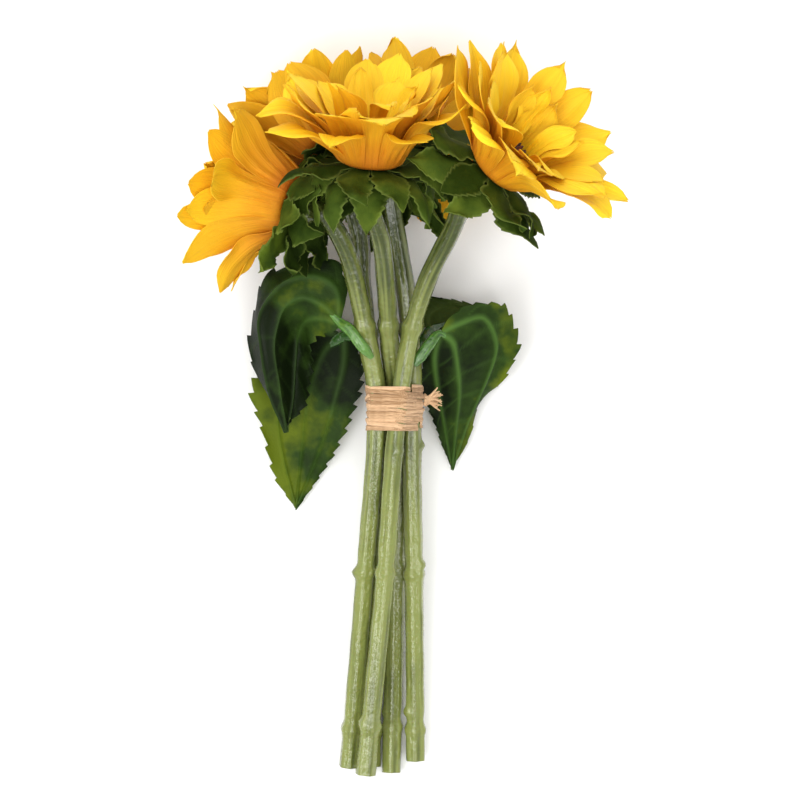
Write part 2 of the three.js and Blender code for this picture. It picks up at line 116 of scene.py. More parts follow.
def spline(points: Sequence[Sequence[float]], count: int) -> np.ndarray:
    """A smooth curve through points, with even steps.

    Args:
        points: The points, as rows.
        count: How many steps the curve gets.

    Returns:
        The count + 1 points along the curve.
    """
    p = np.asarray(points, float)
    p = np.vstack([2 * p[0] - p[1], p, 2 * p[-1] - p[-2]])
    knots = np.concatenate([[0], np.cumsum(np.linalg.norm(np.diff(p, axis=0), axis=1) ** 0.5)])
    dense = []
    for i in range(1, len(p) - 2):
        t = np.linspace(knots[i], knots[i + 1], DENSE_STEPS, endpoint=i == len(p) - 3)[:, None]
        k0, k1, k2, k3 = knots[i - 1:i + 3]
        a1 = (k1 - t) / (k1 - k0) * p[i - 1] + (t - k0) / (k1 - k0) * p[i]
        a2 = (k2 - t) / (k2 - k1) * p[i] + (t - k1) / (k2 - k1) * p[i + 1]
        a3 = (k3 - t) / (k3 - k2) * p[i + 1] + (t - k2) / (k3 - k2) * p[i + 2]
        b1 = (k2 - t) / (k2 - k0) * a1 + (t - k0) / (k2 - k0) * a2
        b2 = (k3 - t) / (k3 - k1) * a2 + (t - k1) / (k3 - k1) * a3
        dense.append((k2 - t) / (k2 - k1) * b1 + (t - k1) / (k2 - k1) * b2)
    dense = np.vstack(dense)
    run = np.concatenate([[0], np.cumsum(np.linalg.norm(np.diff(dense, axis=0), axis=1))])
    even = np.linspace(0, run[-1], count + 1)
    return np.stack([np.interp(even, run, dense[:, k]) for k in range(3)], axis=1)


def frames_along(path: np.ndarray, up: Sequence[float]) -> tuple[np.ndarray, np.ndarray, np.ndarray]:
    """The tangent, side and normal at every point of a path.

    Args:
        path: The points, as rows.
        up: The direction that the normal leans to, or one for each point.

    Returns:
        Tangents, sides and normals, as rows.
    """
    tangent = np.gradient(path, axis=0)
    tangent /= np.linalg.norm(tangent, axis=1)[:, None]
    side = np.cross(tangent, np.broadcast_to(up, path.shape))
    side /= np.linalg.norm(side, axis=1)[:, None]
    return tangent, side, np.cross(side, tangent)


# ---------------------------------------------------------------- modelling by hand
def deselect() -> None:
    """Leaves object mode with nothing selected."""
    if bpy.context.mode != "OBJECT":
        bpy.ops.object.mode_set(mode="OBJECT")
    bpy.ops.object.select_all(action="DESELECT")


def activate(obj: Object) -> None:
    """Selects one object alone."""
    deselect()
    obj.select_set(True)
    bpy.context.view_layer.objects.active = obj


def sheet(name: str, across: int, along: int) -> tuple[Object, np.ndarray, np.ndarray]:
    """Adds a flat sheet from the grid primitive.

    Args:
        name: The object's name.
        across: How many faces it has across.
        along: How many faces it has along.

    Returns:
        The object, and each vertex's place across, -1 to 1, and along, 0 to 1.
    """
    deselect()
    bpy.ops.mesh.primitive_grid_add(x_subdivisions=across, y_subdivisions=along, size=2)
    obj = bpy.context.object
    obj.name = name
    flat = coordinates(obj)
    return obj, flat[:, 0], (flat[:, 1] + 1) / 2


def coordinates(obj: Object) -> np.ndarray:
    """The object's vertices, as rows."""
    flat = np.zeros(len(obj.data.vertices) * 3)
    obj.data.vertices.foreach_get("co", flat)
    return flat.reshape(-1, 3)


def lay(obj: Object, points: np.ndarray) -> None:
    """Moves an object's vertices; what meets the floor is pressed flat on it.

    Args:
        obj: The object.
        points: Where its vertices go, as rows on the bunch's rule.
    """
    placed = place(points)
    over = np.clip((placed[:, 2] - FLOOR_GAP) / FLOOR_PRESS, -PRESS_REACH, PRESS_REACH)
    pressed = FLOOR_GAP + FLOOR_PRESS * np.log1p(np.exp(over))
    placed[:, 2] = np.where(over < PRESS_REACH, pressed, placed[:, 2])
    obj.data.vertices.foreach_set("co", placed.ravel())
    obj.data.update()


def copy_of(obj: Object) -> Object:
    """A copy of an object with a mesh of its own.

    Args:
        obj: The object.

    Returns:
        The copy.
    """
    twin = obj.copy()
    twin.data = obj.data.copy()
    bpy.context.collection.objects.link(twin)
    return twin


def set_tint(obj: Object, value: float | np.ndarray, name: str = "tint") -> None:
    """Gives an object's vertices a number that the finishes read.

    Args:
        obj: The object.
        value: The number, or one for each vertex. A tint is from about -1, dark, to 1, light; on leaves,
            petioles and stems it is painted light and shade.
        name: What the finishes know the number by.
    """
    values = obj.data.attributes.get(name) or obj.data.attributes.new(name, "FLOAT", "POINT")
    values.data.foreach_set("value", np.full(len(obj.data.vertices), value))


def shift_uv(obj: Object, step: float) -> None:
    """Moves the UV map sideways, so that each copy has its own stretch of a pattern.

    Args:
        obj: The object.
        step: How far it moves, in widths of the map.
    """
    uv = obj.data.uv_layers[0].data
    flat = np.zeros(len(uv) * 2)
    uv.foreach_get("uv", flat)
    flat = flat.reshape(-1, 2)
    flat[:, 0] = UV_MARGIN + (1 - 2 * UV_MARGIN) * flat[:, 0] + step
    uv.foreach_set("uv", flat.ravel())


def join(objects: Sequence[Object], name: str) -> Object:
    """Joins objects into the first one.

    Args:
        objects: The objects.
        name: The name that the first one takes.

    Returns:
        The joined object.
    """
    deselect()
    for obj in objects:
        obj.select_set(True)
    bpy.context.view_layer.objects.active = objects[0]
    if len(objects) > 1:
        bpy.ops.object.join()
    objects[0].name = name
    objects[0].data.name = name
    return objects[0]


def thicken(obj: Object, thickness: float) -> None:
    """Gives a sheet a thickness in millimetres; its back takes the next finish.

    Args:
        obj: The sheet.
        thickness: Its thickness.
    """
    activate(obj)
    modifier = obj.modifiers.new("Solidify", "SOLIDIFY")
    modifier.thickness = thickness * MM
    modifier.offset = 0
    modifier.material_offset = 1
    bpy.ops.object.modifier_apply(modifier=modifier.name)


def smooth(obj: Object, degrees: float) -> None:
    """Shades an object smooth where its faces meet at less than an angle."""
    activate(obj)
    bpy.ops.object.shade_smooth_by_angle(angle=math.radians(degrees))


def close_up(obj: Object, weld: float) -> None:
    """Merges an object's doubles, fills its holes and turns its faces out.

    Args:
        obj: The object.
        weld: How near vertices lie that are merged, in metres.
    """
    activate(obj)
    bpy.ops.object.mode_set(mode="EDIT")
    bpy.ops.mesh.select_all(action="SELECT")
    bpy.ops.mesh.remove_doubles(threshold=weld)
    bpy.ops.mesh.fill_holes(sides=0)
    bpy.ops.mesh.select_all(action="SELECT")
    bpy.ops.mesh.normals_make_consistent(inside=False)
    bpy.ops.object.mode_set(mode="OBJECT")


def tube(name: str, rings: np.ndarray) -> Object:
    """Rolls a sheet into a tube.

    Args:
        name: The object's name.
        rings: The section at every station, as [station, side, xyz].

    Returns:
        The tube, with capped ends.
    """
    stations, sides, _ = rings.shape
    obj, x, y = sheet(name, sides, stations - 1)
    side = np.rint((x + 1) / 2 * sides).astype(int) % sides
    station = np.rint(y * (stations - 1)).astype(int)
    lay(obj, rings[station, side])
    close_up(obj, TUBE_WELD)
    return obj


def ribbon(name: str, path: np.ndarray, up: Sequence[float] | np.ndarray, half: np.ndarray,
           section: Sequence[Pair], thickness: float) -> Object:
    """Sweeps a section along a path.

    Args:
        name: The object's name.
        path: The middle line, as rows.
        up: The direction that the section's top faces, or one for each point.
        half: Half the width at every point, in millimetres.
        section: The section's corners: how far across and up they lie, in halves of the width and thickness.
        thickness: The thickness, in millimetres.

    Returns:
        The ribbon.
    """
    _, side, normal = frames_along(path, up)
    rings = np.array([[p + s * x * w + n * z * thickness / 2 for x, z in section]
                      for p, s, n, w in zip(path, side, normal, half)])
    return tube(name, rings)


# ---------------------------------------------------------------- finishes
def srgb(code: str) -> tuple[float, float, float, float]:
    """The linear colour of an sRGB hex value such as "F8B60A"."""
    parts = [int(code[i:i + 2], 16) / 255 for i in (0, 2, 4)]
    return (*(p / 12.92 if p <= 0.04045 else ((p + 0.055) / 1.055) ** 2.4 for p in parts), 1.0)


def add_node(
    tree: NodeTree,
    kind: str,
    inputs: dict[str | int, object] | None = None,
    stops: Sequence[tuple[float, str]] = (),
    **settings: object,
) -> Node:
    """Adds a node with its settings and links.

    Args:
        tree: The material's node tree.
        kind: The node's type, without ShaderNode before it.
        inputs: What goes to each input: a value, a socket, or a node for its first output.
        stops: Places and colours of a colour ramp.
        settings: The node's own settings.

    Returns:
        The node.
    """
    node = tree.nodes.new(f"ShaderNode{kind}")
    for key, value in settings.items():
        setattr(node, key, value)
    for key, value in (inputs or {}).items():
        value = value.outputs[0] if isinstance(value, Node) else value
        if isinstance(value, NodeSocket):
            tree.links.new(value, node.inputs[key])
        else:
            node.inputs[key].default_value = value
    for number, (position, colour) in enumerate(stops):
        elements = node.color_ramp.elements
        element = elements[number] if number < len(elements) else elements.new(position)
        element.position = position
        element.color = srgb(colour)
    return node


def new_material(name: str, **values: object) -> tuple[Material, Node]:
    """Makes a material.

    Args:
        name: The material's name.
        values: The shader's own values, with _ for a space in the name.

    Returns:
        The material and its shader.
    """
    material = bpy.data.materials.new(name)
    material.use_nodes = True
    shader = material.node_tree.nodes["Principled BSDF"]
    for key, value in values.items():
        shader.inputs[key.replace("_", " ")].default_value = value
    return material, shader


@dataclass(frozen=True)
class PetalFabric:
    """Woven polyester, dyed by hand from orange at the root to yellow, heat-pressed with ridges.

    It is matt and a little translucent, with fine lengthwise creases and a paler cut edge, which is partly a
    painted highlight along the edges. The widths of a pressed petal, of a crease and of a blotch of dye are
    in millimetres, and relief_mm is how high the creases stand. blotchiness is how far the blotches carry the
    colours along the petal. value is the brightness, to which the creases add up to creasing, and value_range
    and hue_range are how much petals differ. Beyond edge_from of the width, the cut edge takes up to
    edge_and_highlight_share of its own colour, a pale edge and a painted highlight.
    """

    name: str
    root: str
    middle: str
    tip: str
    edge: str
    petal_mm: float = 17.0
    crease_mm: float = 0.5
    blotch_mm: float = 11.111
    relief_mm: float = 0.7
    blotchiness: float = 0.24
    creasing: float = 0.42
    value: float = 0.78
    value_range: float = 0.07
    hue_range: float = 0.006
    edge_from: float = 0.475
    edge_and_highlight_share: float = 0.14

    def material(self) -> Material:
        """Builds the fabric's material."""
        material, shader = new_material(
            self.name, Roughness=0.7, Specular_IOR_Level=0.3, Subsurface_Weight=0.1, Subsurface_Scale=0.002,
            Subsurface_Radius=(1.0, 0.5, 0.06))
        tree = material.node_tree
        uv = add_node(tree, "UVMap", uv_map="UVMap")
        split = add_node(tree, "SeparateXYZ", {0: uv})
        across = add_node(tree, "Math", {0: split}, operation="FRACT")
        edge = add_node(tree, "Math", {0: across, 1: 0.5}, operation="SUBTRACT")
        edge = add_node(tree, "Math", {0: edge}, operation="ABSOLUTE")
        position = add_node(tree, "TexCoord").outputs["Object"]
        dye = add_node(tree, "TexNoise",
                       {"Vector": position, "Scale": 1 / (self.blotch_mm * MM), "Detail": 2.0})
        shaken = add_node(tree, "Math", {0: dye, 1: self.blotchiness, 2: split.outputs[1]},
                          operation="MULTIPLY_ADD")
        ramp = add_node(tree, "ValToRGB", {0: shaken},
                        stops=[(0.1, self.root), (0.42, self.middle), (1.0, self.tip)])
        grain = add_node(tree, "Mapping",
                         {"Vector": uv, "Scale": (self.petal_mm / self.crease_mm, 1.6, 1.0)})
        crease = add_node(tree, "TexNoise",
                          {"Vector": grain, "Scale": 1.0, "Detail": 3.0, "Roughness": 0.55})
        tint = add_node(tree, "Attribute", attribute_name="tint").outputs["Fac"]
        value = add_node(tree, "Math", {0: tint, 1: self.value_range, 2: self.value},
                         operation="MULTIPLY_ADD")
        value = add_node(tree, "Math", {0: crease, 1: self.creasing, 2: value}, operation="MULTIPLY_ADD")
        hue = add_node(tree, "Math", {0: tint, 1: self.hue_range, 2: 0.5}, operation="MULTIPLY_ADD")
        toned = add_node(tree, "HueSaturation", {"Color": ramp, "Value": value, "Hue": hue})
        # The paler cut edge is partly painted highlight along the petals' edges.
        rim = add_node(tree, "MapRange", {"Value": edge, "From Min": self.edge_from, "From Max": 0.5,
                        "To Max": self.edge_and_highlight_share})
        colour = add_node(tree, "Mix", {0: rim, 6: toned, 7: srgb(self.edge)}, data_type="RGBA")
        relief = add_node(tree, "Bump",
                          {"Height": crease, "Strength": 0.6, "Distance": self.relief_mm * MM})
        tree.links.new(colour.outputs[2], shader.inputs["Base Color"])
        tree.links.new(relief.outputs[0], shader.inputs["Normal"])
        return material


@dataclass(frozen=True)
class LeafFabric:
    """Printed and embossed polyester: green from nearly black to olive, with soft paler veins; on leaves the
    darkest of it is painted shade.

    It is dull, and the weave shows as a fine grain. The widths of a printed patch and of the grain are in
    millimetres, and relief_mm is how high the grain stands. The weave's threads are finer than weave_mm,
    which is as fine as shows. tinting is how far the tint carries the colour from dark to bright; on leaves
    the tint is painted light and shade, on sepals it differs at random.
    """

    name: str
    dark: str
    middle: str
    bright: str
    vein: str
    roughness: float = 0.5
    gloss: float = 0.05
    patch_mm: float = 14.286
    weave_mm: float = 0.7143
    relief_mm: float = 0.4
    tinting: float = 0.18

    def material(self) -> Material:
        """Builds the leaf fabric's material."""
        material, shader = new_material(
            self.name, Roughness=self.roughness, Specular_IOR_Level=self.gloss)
        tree = material.node_tree
        position = add_node(tree, "TexCoord").outputs["Object"]
        patch = add_node(tree, "TexNoise",
                         {"Vector": position, "Scale": 1 / (self.patch_mm * MM), "Detail": 3.0})
        weave = add_node(tree, "TexNoise",
                         {"Vector": position, "Scale": 1 / (self.weave_mm * MM), "Detail": 2.0})
        tint = add_node(tree, "Attribute", attribute_name="tint")
        vein = add_node(tree, "Attribute", attribute_name="vein")
        # On leaves the tint is painted light and shade; on sepals it differs at random.
        mottled_and_painted_shade = add_node(tree, "Math", {0: tint.outputs["Fac"], 1: self.tinting, 2: patch},
                           operation="MULTIPLY_ADD")
        ramp = add_node(tree, "ValToRGB", {0: mottled_and_painted_shade},
                        stops=[(0.3, self.dark), (0.56, self.middle), (0.8, self.bright)])
        colour = add_node(tree, "Mix",
                          {0: vein.outputs["Fac"], 6: ramp, 7: srgb(self.vein)}, data_type="RGBA")
        relief = add_node(tree, "Bump",
                          {"Height": weave, "Strength": 0.35, "Distance": self.relief_mm * MM})
        tree.links.new(colour.outputs[2], shader.inputs["Base Color"])
        tree.links.new(relief.outputs[0], shader.inputs["Normal"])
        return material


@dataclass(frozen=True)
class MouldedStem:
    """Injection-moulded polyethylene over a wire: glossy, with grooves and small bumps along it.

    The widths of a patch and of a bump are in millimetres, and relief_mm is how high streaks and bumps
    stand. streaks is how many there are round the stem and along it. tinting is how far painted light and
    shade move the colour: stems are painted darker towards the heads, petioles as their blades.
    """

    name: str
    light: str
    dark: str
    roughness: float = 0.2
    streaks: Pair = (13.0, 5.0)
    patch_mm: float = 22.222
    bump_mm: float = 2.6316
    relief_mm: float = 0.8
    patching: float = 0.35
    tinting: float = 0.2

    def material(self) -> Material:
        """Builds the moulded plastic's material."""
        material, shader = new_material(
            self.name, Roughness=self.roughness, IOR=1.51, Subsurface_Weight=0.08, Subsurface_Scale=0.002,
            Coat_Weight=0.22, Coat_Roughness=0.12)
        tree = material.node_tree
        uv = add_node(tree, "UVMap", uv_map="UVMap")
        grain = add_node(tree, "Mapping", {"Vector": uv, "Scale": (*self.streaks, 1.0)})
        streak = add_node(tree, "TexNoise", {"Vector": grain, "Scale": 1.0, "Detail": 4.0})
        position = add_node(tree, "TexCoord").outputs["Object"]
        patch = add_node(tree, "TexNoise",
                         {"Vector": position, "Scale": 1 / (self.patch_mm * MM), "Detail": 2.0})
        mixed = add_node(tree, "Math", {0: patch, 1: self.patching, 2: streak}, operation="MULTIPLY_ADD")
        # On stems and petioles the tint is painted light and shade.
        tint = add_node(tree, "Attribute", attribute_name="tint")
        mixed = add_node(tree, "Math", {0: tint.outputs["Fac"], 1: self.tinting, 2: mixed},
                         operation="MULTIPLY_ADD")
        ramp = add_node(tree, "ValToRGB", {0: mixed}, stops=[(0.46, self.dark), (0.8, self.light)])
        bumps = add_node(tree, "TexNoise",
                         {"Vector": position, "Scale": 1 / (self.bump_mm * MM), "Detail": 2.0})
        relief = add_node(tree, "Bump", {"Height": bumps, "Strength": 0.8, "Distance": self.relief_mm * MM})
        relief = add_node(tree, "Bump",
                          {"Height": streak, "Strength": 0.35, "Distance": self.relief_mm * MM,
                           "Normal": relief})
        tree.links.new(ramp.outputs[0], shader.inputs["Base Color"])
        tree.links.new(relief.outputs[0], shader.inputs["Normal"])
        return material


@dataclass(frozen=True)
class DryFibre:
    """Raffia or flock: dry fibre, matt, with strands of slightly different colours.

    fibres is how many there are across and along the UV map. relief_mm is how high they stand.
    """

    name: str
    light: str
    dark: str
    fibres: Pair
    relief_mm: float = 0.4
    tinting: float = 0.22

    def material(self) -> Material:
        """Builds the fibre's material."""
        material, shader = new_material(self.name, Roughness=0.78, Sheen_Weight=0.15)
        tree = material.node_tree
        uv = add_node(tree, "UVMap", uv_map="UVMap")
        grain = add_node(tree, "Mapping", {"Vector": uv, "Scale": (*self.fibres, 1.0)})
        fibre = add_node(tree, "TexNoise", {"Vector": grain, "Scale": 1.0, "Detail": 3.0})
        tint = add_node(tree, "Attribute", attribute_name="tint")
        mixed = add_node(tree, "Math", {0: tint.outputs["Fac"], 1: self.tinting, 2: fibre},
                         operation="MULTIPLY_ADD")
        ramp = add_node(tree, "ValToRGB", {0: mixed}, stops=[(0.3, self.dark), (0.7, self.light)])
        relief = add_node(tree, "Bump", {"Height": fibre, "Strength": 0.5, "Distance": self.relief_mm * MM})
        tree.links.new(ramp.outputs[0], shader.inputs["Base Color"])
        tree.links.new(relief.outputs[0], shader.inputs["Normal"])
        return material


class Finish(Enum):
    """Every finish on the bouquet."""

    # The last colour of each petal finish is its paler cut edge, partly painted highlight.
    PETAL = PetalFabric("petal_polyester_face", "E48A04", "F3B80C", "F8CB22", "FDE070")
    # The back is duller than the face, and is also painted darker and more orange as painted shade, for the
    # backs of the petals lie in the shade of the heads.
    PETAL_BACK = PetalFabric("petal_polyester_back", "A84404", "CC8206", "E6B014", "F4CE50")
    INNER = PetalFabric("inner_petal_polyester_face", "E69206", "F4BC10", "F8CE26", "FDE070")
    SEPAL = LeafFabric("sepal_polyester_face", "1A2806", "304212", "506218", "7C8C40", 0.75)
    SEPAL_BACK = LeafFabric("sepal_polyester_back", "223208", "3C4E16", "5A6A22", "84944A", 0.75)
    # On the leaves the dark colour is mostly painted shade.
    LEAF = LeafFabric("leaf_polyester_face", "0E1806", "263A10", "566412", "4E7030", 0.52, 0.08)
    LEAF_BACK = LeafFabric("leaf_polyester_back", "36441A", "4E5E28", "66742E", "6C8044")
    STEM = MouldedStem("stem_moulded_polyethylene", "7C8444", "3C4618")
    PETIOLE = MouldedStem("petiole_moulded_polyethylene", "5A8438", "2E521C")
    SEED = DryFibre("seed_disc_flocked_foam", "6A2E17", "1E0C08", (60.0, 60.0))
    RAFFIA = DryFibre("raffia_dry_palm_fibre", "D2AC84", "94704A", (5.0, 40.0))


class Wardrobe:
    """Makes each finish's material once."""

    def __init__(self) -> None:
        """Starts empty."""
        self.made: dict[Finish, Material] = {}

    def dress(self, obj: Object, *finishes: Finish) -> None:
        """Puts finishes in an object's material slots.

        Args:
            obj: The object.
            finishes: The finishes, in order.
        """
        obj.data.materials.clear()
        for finish in finishes:
            if finish not in self.made:
                self.made[finish] = finish.value.material()
            obj.data.materials.append(self.made[finish])


def show(piece: Object, slot: str, *nodes: str) -> None:
    """Hands a finished piece to the frame, where it rides on the one body.

    Args:
        piece: The piece.
        slot: Its material slot; not used.
        nodes: The CAD nodes that it stands for.
    """
    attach(piece, "root")
    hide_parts(*nodes)
    log.info("%s: %d faces for %s", piece.name, len(piece.data.polygons), ", ".join(nodes))


# ---------------------------------------------------------------- flowers
@dataclass(frozen=True)
class Flower:
    """Where a flower is, which way it faces and how its petals are raised.

    turn turns the petals round the axis. opening adds to the elevations of the three layers of petals. lift
    raises the petals on the side lift_at, then those on that side and the opposite one together, and last
    says how much more each inner layer is raised on the side lift_at. curl bends the upper petals outwards
    along their length. All are in degrees. claim is the flower's part of the room between it and a
    neighbour. droop is how far the sepals hang back, as a share. sizes are the lengths of its petals and its
    sepals, as shares of what the dies cut.
    """

    name: str
    root: Triple
    axis: Triple
    turn: float
    claim: float
    opening: Triple
    lift: Triple
    lift_at: float
    curl: float
    droop: float
    sizes: Pair = (1.0, 1.0)

    def basis(self) -> tuple[np.ndarray, np.ndarray, np.ndarray, np.ndarray]:
        """The root, the axis, the direction across it nearest to straight up, and the one beside that."""
        axis = unit(self.axis)
        front = unit(np.array([0, 0, 1]) - axis[2] * axis)
        return np.array(self.root, float), axis, front, -np.cross(front, axis)

    def cell_centre(self) -> np.ndarray:
        """The middle of the room that the flower takes."""
        return np.array(self.root) + unit(self.axis) * CELL_REACH


@dataclass(frozen=True)
class Layer:
    """One die-cut layer of petals or sepals.

    level is its place on the pin, root its ring's radius and rank how clear of the walls it keeps. From
    start to end its elevation above the ring changes along it, between least and most, all in degrees.
    """

    name: str
    level: float
    root: float
    rank: float
    count: int
    length: float
    width: float
    start: float
    end: float
    least: float
    most: float


FLOWERS = (
    Flower("front", (-13, 271, 87), (0.08, 0.95, 0.3), 5, 2.0, (-2, -3, -3), (10, 2, -3), 108, 60, 1),
    Flower("right", (41, 269, 91), (0.68, 0.6, 0.42), 14, 1.2, (-8, -4, 0), (-4, 0, -7), 0, 50, 0.35,
           (1, 0.82)),
    Flower("left", (-46.4, 253, 60), (-0.85, 0.25, -0.46), 10, 1, (0, 0, 0), (-4, 0, -7), 0, 55, 0.8,
           (1, 0.72)),
    Flower("upper", (-31.5, 276, 34.8), (-0.4, 0.78, -0.48), 15, 1, (-18, -14, -10), (0, 0, 0), 0, 0, 0.55,
           (0.86, 0.9)),
    Flower("back", (-1, 273, 30), (0.25, 0.6, -0.76), 8, 1, (0, 0, 0), (12, 0, 0), 200, 0, 0.6),
)
LAYERS = (
    Layer("sepals_lower", -2.9, 13.4, 0, 7, 30, 19, -12, -86, -80, 40),
    Layer("sepals_upper", -1.1, 14, 0.5, 7, 28, 19, 6, -44, -70, 48),
    Layer("petals_outer", 0, 13.8, 0.8, 12, 46, 20, 62, 18, -80, 100),
    Layer("petals_middle", 1, 12.6, 1.7, 12, 46, 20, 70, 34, -70, 104),
    Layer("petals_inner", 2, 11.4, 2.6, 9, 34, 16, 78, 44, -60, 108),
)
FIRST_PETALS = 2
# In millimetres: between the layers' rings on the pin, the pin hole's radius, the gap to a wall, how near a
# wall the petals start to turn, how much clearer each rank keeps, and how far out a flower's room centres.
LAYER_PITCH = 1.5
HUB_HOLE = 3.1
WALL_GAP = 0.5
STEER_MARGIN = 11.0
RANK_CLEARANCE = 1.8
CELL_REACH = 18.0
# The most of the way to a wall's own direction that one wall turns a petal.
STEER_MOST = 1.15
# A layer is worked out in this many directions and steps, and averaged over SMOOTHING directions each way.
AZIMUTHS = 72
BEND_STEPS = 24
SMOOTHING = 3
# Above 1, a layer bends more towards its tips. At CURL_MIDDLE, a share of its length, curl adds nothing.
BEND_POWER = 1.15
CURL_MIDDLE = 0.45
# How much longer than its layer's length the longest sepal or petal may be.
LENGTH_RANGE = 0.05
# The share of a petal's length that lies on its ring, and the most of its own sector that it may fill.
CLAW = 0.18
SECTOR_FILL = 0.62
# In millimetres: the least and the most that petals stray from their layer; they use half of the gap.
LEAST_STRAY = 0.6
MOST_STRAY = 9.0
# In degrees: how far petals are off their even places round the disc.
SCATTER = 5
MARKS_A_LAYER = 20


class NestedLayers:
    """The layers of one flower as nested surfaces, pressed by its neighbours.

    The walls beside the flower close its layers, from the outer one inwards; the walls that it faces open
    them, the other way. No layer is bent flatter than the one outside it, as far as its own least elevation
    allows. The petals' own curls and folds can still go through the next layer.
    """

    def __init__(self, flower: Flower) -> None:
        """Works out every layer's radius, height and elevation, by azimuth and step.

        Args:
            flower: The flower.
        """
        self.flower = flower
        self.root, self.axis, self.front, self.side = flower.basis()
        self.azimuths = np.arange(AZIMUTHS) * TAU / AZIMUTHS
        self.radials = self.radial(self.azimuths)
        self.walls = self._walls()
        self.runs = self._surfaces()

    def radial(self, azimuth: np.ndarray) -> np.ndarray:
        """The directions away from the axis at azimuths, as rows."""
        return np.cos(azimuth)[..., None] * self.front + np.sin(azimuth)[..., None] * self.side

    def _walls(self) -> list[tuple[np.ndarray, float]]:
        """The walls of the flower's room, each a normal and an offset; the floor is the last."""
        own = self.flower.cell_centre()
        walls = []
        for other in FLOWERS:
            if other is self.flower:
                continue
            normal = other.cell_centre() - own
            reach = np.linalg.norm(normal) * self.flower.claim / (self.flower.claim + other.claim)
            normal = unit(normal)
            walls.append((normal, float(normal @ own) + reach - WALL_GAP))
        walls.append((np.array([0.0, 0.0, -1.0]), 0.0))
        return walls

    def _follow(self, layer: Layer, bend: Callable[[int, np.ndarray, np.ndarray], np.ndarray]) -> np.ndarray:
        """Runs out along a layer from its ring.

        Args:
            layer: The layer.
            bend: Gives the elevations at a step, from its number and the radii and heights there.

        Returns:
            Radius, height and elevation, as [quantity, azimuth, step].
        """
        step = layer.length * (1 + LENGTH_RANGE) / BEND_STEPS
        r = np.full(AZIMUTHS, layer.root)
        h = np.full(AZIMUTHS, layer.level * LAYER_PITCH)
        run = np.zeros((3, AZIMUTHS, BEND_STEPS + 1))
        for i in range(BEND_STEPS + 1):
            angle = bend(i, r, h)
            run[:, :, i] = r, h, angle
            r = r + step * np.cos(angle)
            h = h + step * np.sin(angle)
        return run

    def _turned(self, layer: Layer, angle: np.ndarray, r: np.ndarray, h: np.ndarray, clearance: float,
                closing: bool) -> np.ndarray:
        """Turns a layer away from the walls that it comes near: petals close or open, sepals turn back.

        Args:
            layer: The layer.
            angle: Its elevations by azimuth.
            r: Its radii there.
            h: Its heights there.
            clearance: How clear of the walls it keeps, in millimetres.
            closing: Whether the walls beside the flower are meant, and not those that it faces.

        Returns:
            The elevations after the turn.
        """
        for normal, offset in self.walls:
            across = self.radials @ normal
            along = float(self.axis @ normal)
            room = offset - float(normal @ self.root) - across * r - along * h - clearance
            phase = np.arctan2(across, along)
            heading = np.arctan2(np.sin(angle + phase), np.cos(angle + phase))
            meets = (heading > 0) & (((heading > math.pi / 2) & (layer.level >= 0)) == closing)
            strength = np.clip((STEER_MARGIN - room) / STEER_MARGIN, 0, STEER_MOST)
            angle = angle + np.where(meets, ((math.pi if closing else 0) - heading) * strength, 0)
        return angle

    def _planned(self) -> list[np.ndarray]:
        """Every layer's elevations as [azimuth, step], before neighbours press on it."""
        flower = self.flower
        around = self.azimuths - math.radians(flower.lift_at)
        first, second, more = flower.lift
        share = (np.arange(BEND_STEPS + 1) / BEND_STEPS) ** BEND_POWER
        angles = []
        for k, layer in enumerate(LAYERS):
            inward = k - FIRST_PETALS
            opening = flower.opening[inward] if inward >= 0 else 0
            end = layer.end * (1 if inward >= 0 else flower.droop)
            planned = opening + layer.start + (end - layer.start) * share
            lift = (first + more * max(inward, 0)) * np.cos(around) + second * np.cos(2 * around)
            curl = flower.curl * np.maximum(np.cos(self.azimuths), 0) ** 2 if inward >= 0 else 0 * lift
            angles.append(np.radians(lift[:, None] + planned[None, :] + np.outer(curl, CURL_MIDDLE - share)))
        return angles

    def _surfaces(self) -> list[np.ndarray]:
        """Every layer's run, from the outermost."""
        angles = self._planned()
        count = len(LAYERS)
        for closing in (True, False):
            for k in range(count) if closing else reversed(range(count)):
                layer = LAYERS[k]
                rank = layer.rank if closing else LAYERS[-1].rank - layer.rank
                beside = k - 1 if closing else k + 1
                bound = angles[beside] if 0 <= beside < count else None
                planned = angles[k]
                least = layer.least * (self.flower.droop if layer.level < 0 else 1)

                def bend(i: int, r: np.ndarray, h: np.ndarray) -> np.ndarray:
                    """The elevations at step i, kept on the right side of the next layer.

                    Args:
                        i: The step's number.
                        r: The radii there.
                        h: The heights there.

                    Returns:
                        The elevations by azimuth.
                    """
                    angle = self._turned(layer, planned[:, i], r, h, rank * RANK_CLEARANCE, closing)
                    if bound is not None:
                        angle = np.maximum(angle, bound[:, i]) if closing else np.minimum(angle, bound[:, i])
                    return np.clip(angle, math.radians(least), math.radians(layer.most))

                angles[k] = self._follow(layer, bend)[2]
        runs = []
        for layer, angle in zip(LAYERS, angles):
            shifts = range(-SMOOTHING, SMOOTHING + 1)
            even = sum(np.roll(angle, j, axis=0) for j in shifts) / len(shifts)
            runs.append(self._follow(layer, lambda i, r, h, even=even: even[:, i]))
        return runs

